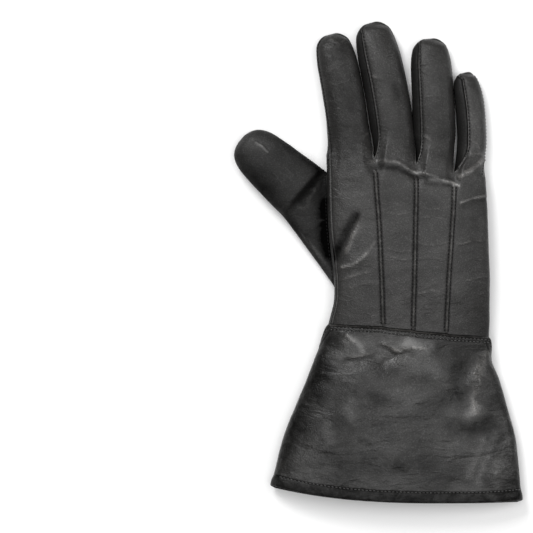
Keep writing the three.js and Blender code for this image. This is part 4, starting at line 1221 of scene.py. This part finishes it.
palm_leather = leather_finish(
    "palm_leather", dark=(0.011, 0.0107, 0.0103), light=(0.021, 0.0203, 0.0196), sheen=0.32, patchy=0.25,
    roughness=0.42, mottle=0.09, dents=1.3, wrinkles=0.2, grain=0.07)
palm_panel, palm_surface = leather_piece(
    "palm_panel", hand, palm_raise, 0, even_wall, [palm_leather, flesh_side])
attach(palm_panel, "root")
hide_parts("palm_panel")

# Fourchettes
# Narrow gussets of thinner leather between the fingers, each one strip from a fingertip down to the
# crotch and up the next finger. The back and the palm are sewn down over their edges.
GUSSET_LEATHER = 1.1
GUSSET_TUCK_IN = 0.3
GUSSET_TUCK_REACH = 1.5
GUSSET_HELD_FLAT = 3
GUSSET_SWELLS = [(14, 0.2, 29), (6, 0.12, 31)]


# The gusset's edges sink under the back and the palm, and the finish paints shade where they sink.
def gusset_raise(points, from_edge):
    sunk = -GUSSET_TUCK_IN * (1 - smooth(from_edge / GUSSET_TUCK_REACH))
    swells = smooth(from_edge / GUSSET_HELD_FLAT) * swell_height(points, GUSSET_SWELLS)
    plain = np.zeros(len(points))
    return sunk, plain, swells, plain


# Thinner than the back and the palm.
def gusset_wall(points):
    return np.full(len(points), GUSSET_LEATHER)


# Darker than the back's leather, as painted shade for the narrow valleys between the fingers.
gusset_leather = leather_finish(
    "gusset_leather", dark=(0.006, 0.0058, 0.0056), light=(0.011, 0.0107, 0.0103), sheen=0.18, patchy=0.15,
    roughness=0.55, mottle=0.05, dents=0.7, wrinkles=0.03, grain=0.05)
for gusset in GUSSETS:
    strip, _ = leather_piece(gusset, hand, gusset_raise, 0, gusset_wall, [gusset_leather, flesh_side])
    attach(strip, "root")
    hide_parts(gusset)

# Thumb
# A wide tube of matte leather, cut separately and set into the palm. It lies flat, pointing outwards,
# and its tip is closed by a straight seam.
THUMB_LENGTH = 66
THUMB_WIDTH = 41
THUMB_HEIGHT = 20
THUMB_ANGLE = 138.7
THUMB_ROOT_X = -0.59
THUMB_ROOT_Y = 0.77
THUMB_BLEND = 0.18
THUMB_OUTWARD_BLEND = 0.13
THUMB_SIDE = 0.48
WEB_DEPTH = 3.5
WEB_TURN = 30
RIM_PLACES = 22
RIM_STEP = 1 / 8
THUMB_STEP = 0.014
THUMB_TIP_STEP = 0.005
THUMB_EDGE_PLACE = 3
THUMB_SHAPE = table_of("at width height", [
    (0, 1.05, 0.92), (0.18, 1.03, 0.97), (0.37, 0.98, 1), (0.62, 0.9, 0.98),
    (0.77, 0.84, 0.9), (0.87, 0.74, 0.78), (0.95, 0.55, 0.56), (0.985, 0.34, 0.26), (1, 0.14, 0),
])
# Once round the rim of the thumb's hole: the hand's column and row, and the angle of the thumb.
RIM = {
    "at": [0, 5, 11, 16, 22],
    "column": [PALM_END, HOLE_FIRST, HOLE_FIRST, PALM_END, PALM_END],
    "row": [HOLE_START, HOLE_START, HOLE_END, HOLE_END, HOLE_START],
    "angle": [60, -45, -135, -225, -300],
}


# A point of the rim of the thumb's hole.
def rim_point(at):
    column = np.interp(at, RIM["at"], RIM["column"])
    return hand_point(column, np.interp(at, RIM["at"], RIM["row"]))


# A point of the thumb's skin. row: 0 at the rim, 1 at the tip.
def thumb_point(at, row):
    at, row = grids(at, row)
    angle = np.interp(at, RIM["at"], RIM["angle"])
    away = np.abs(at - THUMB_EDGE_PLACE)
    line = 1 - 4 * np.minimum(away, RIM_PLACES - away) / RIM_PLACES
    shape = read_table(THUMB_SHAPE, row)
    width = THUMB_WIDTH * shape["width"]
    across, up = tube_offset(angle, width, THUMB_HEIGHT, THUMB_SIDE, shape["height"])
    across = mix(across, line * width / 2, smooth((row - TIP_START) / (1 - TIP_START)))
    forward_x = math.cos(math.radians(THUMB_ANGLE))
    forward_y = math.sin(math.radians(THUMB_ANGLE))
    tube_x = THUMB_ROOT_X * HAND_WIDTH + forward_x * THUMB_LENGTH * row + forward_y * across
    tube_y = THUMB_ROOT_Y * HAND_LENGTH + forward_y * THUMB_LENGTH * row - forward_x * across
    opened = smooth(row / THUMB_BLEND)
    outward = smooth(row / THUMB_OUTWARD_BLEND)
    rim = rim_point(at)
    topness = np.maximum(np.sin(np.radians(angle + WEB_TURN)), 0)
    height = mix(rim[..., 2], up, opened) - WEB_DEPTH * 4 * opened * (1 - opened) * topness
    return place(mix(rim[..., 0], tube_x, outward), mix(rim[..., 1], tube_y, outward), height)


thumb_rows = stepped_rows([(0, TIP_ROWS, THUMB_STEP), (TIP_ROWS, 1, THUMB_TIP_STEP)])
round_rim = finer(range(RIM_PLACES + 1), RIM_STEP)
thumb_skin = tube_skin("thumb", thumb_point, round_rim, thumb_rows, True)

THUMB_CREASES = [
    (0.8, 0.4, [(-104.9, 129.7), (-100, 127), (-95.9, 122.1)]),
    (2.6, 0.5, [(-58, 105.6), (-66, 96), (-73.1, 84.9)]),
    (2.2, -0.4, [(-62, 107), (-70, 98), (-78, 88)]),
    (0.8, 0.2, [(-88, 128), (-82, 121)]),
    (0.8, 0.2, [(-84, 112), (-76, 104)]),
    (0.8, 0.2, [(-92, 108), (-86, 100)]),
]
# Painted light and shade on the thumb's upper side: a band of painted shadow along the edge of the hand that
# lies over it, painted shade in its folds and along its lower side, and painted highlights on a ridge, a
# scratch and its tip: half width, amount and line.
THUMB_PAINTED_LIGHT = [
    (7.5, -1.1, [(-52, 102), (-55.5, 82.8), (-54.5, 62.1), (-50, 48)]),
    (4.0, -0.5, [(-53, 98), (-55.5, 82.8), (-54.5, 62.1), (-50, 50)]),
    (3.6, -0.7, [(-72.5, 88), (-66, 98), (-61, 107.5)]),
    (2.4, 0.55, [(-58, 105.6), (-66, 95), (-73, 84.9)]),
    (6, -0.5, [(-113.9, 107.6), (-92, 84), (-72.5, 64.9)]),
    (3.5, -0.5, [(-87.6, 133.2), (-74, 122), (-62.1, 111.8)]),
    (8, 0.25, [(-106, 130), (-100, 124)]),
    (0.7, 1.6, [(-104.2, 128.7), (-100, 126), (-96.5, 122.5)]),
    (1.3, 0.9, [(-70.4, 63.2), (-60, 51), (-50.5, 38)]),
    (7, -0.3, [(-100, 106), (-92, 100)]),
]
THUMB_SWELLS = [(20, 0.35, 37), (8, 0.16, 41), (4, 0.06, 43)]
# The creases and the painted light and shade are on the upper side only: the height it starts at, and
# how gradually.
THUMB_UPPER = THUMB_HEIGHT * 0.35
THUMB_UPPER_SPAN = THUMB_HEIGHT * 0.15


def thumb_raise(points, from_edge):
    calm = smooth(from_edge / HELD_FLAT)
    upper = smooth((points[:, 2] - THUMB_UPPER) / THUMB_UPPER_SPAN)
    swells = calm * swell_height(points, THUMB_SWELLS)
    creases = upper * calm * crease_height(points, THUMB_CREASES)
    return np.zeros(len(points)), creases, swells, upper * crease_height(points, THUMB_PAINTED_LIGHT)


thumb_leather = leather_finish(
    "thumb_leather", dark=(0.0085, 0.0083, 0.0081), light=(0.0145, 0.0142, 0.0138), sheen=0.17, patchy=0.25,
    roughness=0.56, mottle=0.07, dents=1.0, wrinkles=0.12, grain=0.07)
thumb, thumb_surface = leather_piece(
    "thumb", thumb_skin, thumb_raise, 0, even_wall, [thumb_leather, flesh_side])
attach(thumb, "root")
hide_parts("thumb")

# Thumb welt
# A thin strip of leather, folded and sewn into the seam round the thumb so that it stands up as a
# round bead.
WELT_RADIUS = 0.85
WELT_SIDES = 10
WELT_STAND = 0.25
WELT_ROW = 2.4


# The bead's points and faces, closed round the thumb's hole.
def welt_mesh(ats):
    middle_line = rim_point(ats)
    up = np.array([palm_surface.find_nearest(point)[1] for point in middle_line])
    centres = middle_line + up * WELT_STAND
    along = np.roll(centres, -1, axis=0) - np.roll(centres, 1, axis=0)
    corners = bead_points(centres, along, up, WELT_RADIUS, WELT_SIDES)
    index = np.arange(len(corners)).reshape(-1, WELT_SIDES)
    ahead = np.roll(index, -1, axis=0)
    faces = np.stack([index, np.roll(index, -1, axis=1), np.roll(ahead, -1, axis=1), ahead], -1)
    return corners, faces.reshape(-1, 4)


welt_points, welt_faces = welt_mesh(round_rim[:-1])
thumb_welt = new_piece(
    "thumb_welt", welt_points, welt_faces, [gusset_leather], np.zeros(len(welt_faces), int))
store(thumb_welt, "from_edge", np.ones(len(welt_points)))
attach(thumb_welt, "root")

# A row of stitches on each side of the welt.
SEAM_SAMPLES = 400
WELT_STITCH = (1.7, 2.5)
round_thumb = np.linspace(0, RIM_PLACES, SEAM_SAMPLES)
seam_middle = rim_point(round_thumb)
welt_seams = [
    (palm_surface, on_side_of(seam_middle, -WELT_ROW)), (thumb_surface, on_side_of(seam_middle, WELT_ROW)),
]
sew("welt_stitches", welt_seams, WELT_STITCH, black_thread)

# Cuff
# A wide flared gauntlet of smooth, shinier leather. It laps over the hand at the wrist, where two
# rows of stitches hold it, and its lower edge is turned up inside and hemmed.
HEM_WIDTH = 7.6
HEM_RISE = 4.8
HEM_LOWEST = 0.15
HEM_CURVE = 2.5
UNDER_HEM_DROP = 1.5
CUFF_STEP = 0.009
CUFF_END_STEP = 0.004
WRIST_END = 0.05
HEM_START = 0.92
CUFF_COLUMN_STEP = 1 / 6


# A point of the space inside the cuff. row: 0 at the wrist seam, 1 at the hem.
def cuff_point(column, row):
    column, row = grids(column, row)
    across, under = column_place(column)
    nominal_x = (across / FINGER_COUNT - 0.5) * HAND_WIDTH
    start = seam_y(nominal_x, under)
    below = SIDE_ANGLE * (1 - 2 * under)
    lap = start - WRIST_LAP
    on_back = under == 0
    layer = angle_over(lap, column_x(lap, np.ones_like(row), across, on_back), on_back)
    on_side = (under > 0) & (under < 1)
    angle = np.where(on_side, np.where(across > 0, below, 180 - below), layer)
    hem_x = body_point(np.full_like(row, -CUFF_LENGTH), angle)[..., 0]
    off_lowest = np.abs(2 * (hem_x / CUFF_WIDTH - HEM_LOWEST))
    end = -CUFF_LENGTH + HEM_RISE * off_lowest ** HEM_CURVE - UNDER_HEM_DROP * under
    return body_point(mix(start, end, row), angle)


cuff_rows = stepped_rows([
    (0, WRIST_END, CUFF_END_STEP), (WRIST_END, HEM_START, CUFF_STEP), (HEM_START, 1, CUFF_END_STEP),
])
cuff_columns = finer(range(COLUMNS + 1), CUFF_COLUMN_STEP)
cuff_skin = tube_skin("gauntlet_cuff", cuff_point, cuff_columns, cuff_rows, False)

CUFF_CREASES = [
    (1.6, -0.5, [(-44.2, -4.8), (-40, -7.5), (-35.9, -11.7)]),
    (1.6, 0.55, [(-41.5, -4.2), (-37.5, -8)]),
    (1.2, -0.4, [(-19.3, -11), (-13.5, -13), (-8.3, -17.3)]),
    (1.2, 0.4, [(-17, -9), (-10.5, -12.2), (-5, -15)]),
    (1.5, -0.45, [(-42.8, -21.4), (-34, -21), (-23.5, -17.9)]),
    (1.4, 0.4, [(-41, -18.6), (-32, -17.8), (-24, -15.4)]),
    (1.5, -0.45, [(-16.6, -21.4), (-9, -18), (0, -15.2)]),
    (1.2, 0.35, [(3.5, -11.5), (13.8, -12.8)]),
    (0.9, 0.22, [(-50.4, -36.5), (-42, -35), (-33.8, -35.9)]),
    (3.6, 0.4, [(56, -14), (48, -28), (45, -42), (46, -56)]),
    (5, -0.35, [(30, -66), (44, -69), (57, -64)]),
    (1.0, 0.16, [(57, -62), (50, -84), (42, -104)]),
    (1.0, 0.16, [(66, -72), (60, -90), (54, -104)]),
    (1.0, 0.16, [(72, -84), (68, -98), (64, -108)]),
    (0.9, 0.2, [(-48, -56), (-41, -60), (-36, -67)]),
    (0.9, 0.2, [(-58, -62), (-52, -66)]),
    (0.9, 0.2, [(0, -30), (6, -33), (8, -38)]),
]
CUFF_SWELLS = [(34, 0.7, 47), (15, 0.35, 53), (6.5, 0.1, 59)]
# Painted light and shade on the upper side: painted shade along the corner at the thumb's side and in
# the valleys of the folds at the right, painted highlights on the ridges under the wrist and on the
# folds at the right, and some lighter patches.
CUFF_PAINTED_LIGHT = [
    (9, -0.5, [(-58.7, -10), (-74, -55), (-86, -88)]),
    (6, -0.35, [(-57, -32.8), (-60.4, -46.2)]),
    (3.6, 0.9, [(-57, -60), (-53.5, -72.5)]),
    (4, 0.7, [(-41, -50), (-38, -60)]),
    (3, 0.4, [(-48, -30), (-36, -32)]),
    (3.8, 1.5, [(1, -9.5), (13.8, -12)]),
    (3, 0.5, [(-8, -13), (0, -9.5)]),
    (2.4, 1.5, [(-42.8, -5.2), (-36, -8), (-31, -13.8)]),
    (3.5, 0.5, [(-50, -18), (-36, -15)]),
    (7, 0.35, [(20.7, -24), (27.6, -34.5)]),
    (7, -0.42, [(34, -16), (33, -30), (35, -46)]),
    (10, 0.35, [(66, -80), (60, -98)]),
    (9, -0.12, [(-20, -60), (10, -75)]),
    (3.8, 0.5, [(56, -17), (48.5, -28), (45, -40), (46, -54)]),
    (3.5, 0.7, [(41, -58.5), (49, -55)]),
    (6, -0.4, [(30, -67), (42, -67), (54, -64)]),
    (2.4, 0.5, [(51.8, -75.9), (41.4, -100)]),
    (2.4, 0.5, [(69, -74), (58.7, -103.5)]),
    (2.2, 0.4, [(60, -70), (48, -104)]),
    (3, -0.35, [(64, -72), (53, -102)]),
    (9, -0.35, [(-53.5, -91.4), (10.4, -93.2)]),
    (8, 0.25, [(-6.9, -46.6), (-3.5, -58.7)]),
    (3.5, -0.4, [(58.7, -24), (70, -58), (77.6, -86)]),
    (4, -0.3, [(-20, -30), (-8, -28)]),
]
ROLLED_EDGE = 1.5
ROLL_AT_WRIST = 0.25
ROLL_AT_HEM = 0.6
WRIST_LIP = 0.5
WRIST_LIP_PLACE = 1.0
WRIST_LIP_REACH = 0.45
ROW_DITCH = 0.3
ROW_DITCH_REACH = 0.5
HEM_PUFF = 0.3
HEM_DULL = 0.55
HEM_FADE = 1.5
CUFF_HELD_FLAT = 2
CUFF_FLAT_FADE = 8
CUFF_CREASE_FADE = 3
CUFF_UPPER = 8
CUFF_UPPER_SPAN = 4
WRIST_ROWS = (2.2, 4.2)
SIDE_SEAM_COLUMN = PALM_END - 1.3
SIDE_SEAM_DEPTH = 0.5
SIDE_SEAM_REACH = 0.5
SIDE_SEAM_ROW = 1.8
SIDE_SEAM_SAMPLES = 40

cuff_side_seam = cuff_point(SIDE_SEAM_COLUMN, np.linspace(0, 1, SIDE_SEAM_SAMPLES))


# The cuff's edges are rolled. A lip stands up along its wrist edge, and the finish paints it lighter, as
# wear and a painted highlight. Its rows of stitches, its hem and its side seam on the underside are
# pressed into it, and the finish paints shade in them. Its creases and its painted light and shade are
# on the upper side, and the band of its hem is made darker.
def cuff_raise(points, from_edge):
    at_wrist = points[:, 1] > -CUFF_LENGTH / 2
    rolled = 1 - np.clip(from_edge / ROLLED_EDGE, 0, 1)
    roll_share = np.where(at_wrist, ROLL_AT_WRIST, ROLL_AT_HEM)
    roll = -ROLLED_EDGE * (1 - np.sqrt(1 - rolled * rolled)) * roll_share
    lines = WRIST_LIP * at_wrist * ridge(from_edge - WRIST_LIP_PLACE, WRIST_LIP_REACH)
    for row in WRIST_ROWS:
        lines -= ROW_DITCH * at_wrist * ridge(from_edge - row, ROW_DITCH_REACH)
    lines -= ROW_DITCH * ~at_wrist * ridge(from_edge - HEM_WIDTH, ROW_DITCH_REACH)
    upper = smooth((points[:, 2] - CUFF_UPPER) / CUFF_UPPER_SPAN)
    side_seam = [(SIDE_SEAM_REACH, -SIDE_SEAM_DEPTH, cuff_side_seam[:, :2])]
    lines += (1 - upper) * crease_height(points, side_seam)
    hem = np.where(at_wrist, 0, HEM_PUFF * np.sin(np.pi * np.clip(from_edge / HEM_WIDTH, 0, 1)))
    calm = smooth((from_edge - CUFF_HELD_FLAT) / CUFF_FLAT_FADE)
    creases = upper * smooth(from_edge / CUFF_CREASE_FADE) * crease_height(points, CUFF_CREASES)
    painted_light_and_tones = upper * crease_height(points, CUFF_PAINTED_LIGHT)
    painted_light_and_tones -= HEM_DULL * (1 - smooth((from_edge - HEM_WIDTH) / HEM_FADE)) * ~at_wrist
    return lines, creases, roll + hem + calm * swell_height(points, CUFF_SWELLS), painted_light_and_tones


# Double in the hem, where the leather is turned up inside.
def cuff_wall(points):
    hem_start = -CUFF_LENGTH + HEM_WIDTH + HEM_RISE
    return LEATHER * (2 - smooth((points[:, 1] - hem_start) / HEM_FADE))


cuff_leather = leather_finish(
    "cuff_leather", dark=(0.0075, 0.0072, 0.0068), light=(0.017, 0.0162, 0.0152), sheen=0.3, patchy=0.42,
    roughness=0.37, mottle=0.1, dents=1.8, wrinkles=0.14, grain=0.08)
gauntlet_cuff, cuff_surface = leather_piece(
    "gauntlet_cuff", cuff_skin, cuff_raise, CUFF_LAYER, cuff_wall, [cuff_leather, flesh_side])
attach(gauntlet_cuff, "root")
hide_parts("gauntlet_cuff")

# Two rows at the wrist, one along the hem and one beside the side seam, in glossy thread.
CUFF_STITCH = (1.7, 2.6)
CUFF_SAMPLES = 500
JUST_SHORT = 0.001
round_cuff = np.linspace(0, COLUMNS - JUST_SHORT, CUFF_SAMPLES)
sewn_rows = [row / CUFF_LENGTH for row in WRIST_ROWS] + [1 - HEM_WIDTH / CUFF_LENGTH]
cuff_seams = [(cuff_surface, cuff_point(round_cuff, row)) for row in sewn_rows]
cuff_seams.append((cuff_surface, on_side_of(cuff_side_seam, SIDE_SEAM_ROW)))
glossy_thread = waxed_thread("glossy_thread", (0.03, 0.029, 0.028), roughness=0.35, sheen=0.6)
sew("cuff_stitches", cuff_seams, CUFF_STITCH, glossy_thread)

# Palm pad
# An L-shaped patch of the same leather over foam, sewn to the palm round its edge and quilted by
# rows of stitches that run across it.
PAD_OUTLINE = np.array([
    (0.435, 0.1), (0.435, 0.45), (0.43, 0.8), (0.04, 0.865), (-0.3, 0.94), (-0.3, 0.875), (-0.17, 0.815),
    (-0.075, 0.74), (0.006, 0.66), (0.044, 0.565), (0.069, 0.435), (0.075, 0.31), (0.064, 0.1),
]) * (HAND_WIDTH, HAND_LENGTH)
PAD_CHANNELS = np.array([0.08, 0.278, 0.446, 0.647, 0.97]) * HAND_LENGTH
CHANNEL_SHARE = 0.45
PAD_STEP = 0.9
PAD_EDGE = 2.6
PAD_EDGE_SHARE = 0.35
PAD_RIB = 0.35


# How deep inside the pad's outline each place is, below zero outside it, and the nearest place on it.
def outline_distance(x, y):
    inside = np.zeros(x.shape, bool)
    near = np.full(x.shape, np.inf)
    foot_x = x
    foot_y = y
    for (start_x, start_y), (end_x, end_y) in zip(PAD_OUTLINE, np.roll(PAD_OUTLINE, -1, axis=0)):
        run_x = end_x - start_x
        run_y = end_y - start_y
        crosses = (start_y > y) != (end_y > y)
        with np.errstate(divide="ignore", invalid="ignore"):
            inside ^= crosses & (x < run_x * (y - start_y) / run_y + start_x)
        share = ((x - start_x) * run_x + (y - start_y) * run_y) / (run_x ** 2 + run_y ** 2)
        held = np.clip(share, 0, 1)
        on_x = start_x + held * run_x
        on_y = start_y + held * run_y
        away = np.hypot(x - on_x, y - on_y)
        closer = away < near
        near = np.where(closer, away, near)
        foot_x = np.where(closer, on_x, foot_x)
        foot_y = np.where(closer, on_y, foot_y)
    return np.where(inside, near, -near), foot_x, foot_y


# The pad's upper face lies against the palm and its lower face bulges between the channels. Gives the
# whole mesh, then the points and faces of its lower face, and what its finish reads.
def pad_mesh():
    low = PAD_OUTLINE.min(0) - PAD_STEP
    high = PAD_OUTLINE.max(0) + PAD_STEP
    x, y = np.meshgrid(np.arange(low[0], high[0], PAD_STEP), np.arange(low[1], high[1], PAD_STEP))
    deep, foot_x, foot_y = outline_distance(x, y)
    snapped = deep < PAD_STEP / 2
    x = np.where(snapped, foot_x, x)
    y = np.where(snapped, foot_y, y)
    edge = np.clip(np.where(snapped, 0, deep) / PAD_EDGE, 0, 1)
    channel = np.clip(np.searchsorted(PAD_CHANNELS, y) - 1, 0, len(PAD_CHANNELS) - 2)
    share = (y - PAD_CHANNELS[channel]) / (PAD_CHANNELS[channel + 1] - PAD_CHANNELS[channel])
    puff = np.sqrt(np.clip(np.sin(np.pi * np.clip(share, 0, 1)), 0, 1))
    rounded = np.sqrt(1 - (1 - edge) ** 2)
    thick = PAD_THICKNESS * mix(CHANNEL_SHARE, 1, puff) * mix(PAD_EDGE_SHARE, 1, rounded)
    over = body_point(y, angle_over(y, x, np.zeros(x.shape, bool)))[..., 2] - SKIN_GAP
    index = np.arange(x.size).reshape(x.shape)
    quads = np.stack([index[:-1, :-1], index[:-1, 1:], index[1:, 1:], index[1:, :-1]], -1).reshape(-1, 4)
    corners = deep.ravel()[quads]
    quads = quads[(corners > -PAD_STEP / 2).all(axis=1) & (corners > 0).any(axis=1)]
    top = place(x, y, over).reshape(-1, 3)
    bottom = place(x, y, over - thick).reshape(-1, 3)
    start, end, _ = border_edges(quads)
    under = len(top)
    strip = np.stack([end, start, under + start, under + end], -1)
    faces = np.concatenate([quads, quads[:, ::-1] + under, strip])
    used, faces = np.unique(faces, return_inverse=True)
    ribs = PAD_RIB * (puff - 1).ravel()
    lines = np.concatenate([ribs, ribs])[used]
    inside = np.concatenate([deep.ravel(), deep.ravel()])[used]
    return np.concatenate([top, bottom])[used], faces.reshape(-1, 4), bottom, quads[:, ::-1], lines, inside


pad_points, pad_faces, pad_under, pad_quads, pad_lines, pad_inside = pad_mesh()
palm_pad = new_piece("palm_pad_leather", pad_points, pad_faces, [palm_leather], np.zeros(len(pad_faces), int))
# The depths of the channels, which the finish paints darker as painted shade.
store(palm_pad, "lines", pad_lines)
store(palm_pad, "from_edge", pad_inside)
pad_surface = BVHTree.FromPolygons(pad_under.tolist(), pad_quads.tolist())
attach(palm_pad, "root")
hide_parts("palm_pad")

# Rows of stitches round the pad, just inside its edge, and along each channel between its ribs.
PAD_STITCH = WELT_STITCH
PAD_ROWS = (1.3, 3.6)
PAD_PATH_STEP = 1.0
CHANNEL_SAMPLES = 60
INNER_CORNER = 8


# The pad's outline as a path, set in by a distance.
def pad_path(inset):
    path = []
    for start, end in zip(PAD_OUTLINE, np.roll(PAD_OUTLINE, -1, axis=0)):
        steps = max(int(np.hypot(*(end - start)) / PAD_PATH_STEP), 1)
        for share in np.arange(steps) / steps:
            path.append(start + (end - start) * share)
    path = np.array(path)
    forward = np.roll(path, -1, axis=0) - np.roll(path, 1, axis=0)
    path = path + unit(np.stack([-forward[:, 1], forward[:, 0]], -1)) * inset
    return place(path[:, 0], path[:, 1], PAD_THICKNESS)


pad_seams = [(pad_surface, pad_path(row)) for row in PAD_ROWS]
inner_side = PAD_OUTLINE[INNER_CORNER:][::-1]
for y in PAD_CHANNELS[1:-1]:
    start_x = np.interp(y, inner_side[:, 1], inner_side[:, 0]) + PAD_ROWS[1]
    end_x = PAD_OUTLINE[0, 0] - PAD_ROWS[1]
    pad_seams.append((pad_surface, place(np.linspace(start_x, end_x, CHANNEL_SAMPLES), y, PAD_THICKNESS)))
sew("pad_stitches", pad_seams, PAD_STITCH, black_thread)
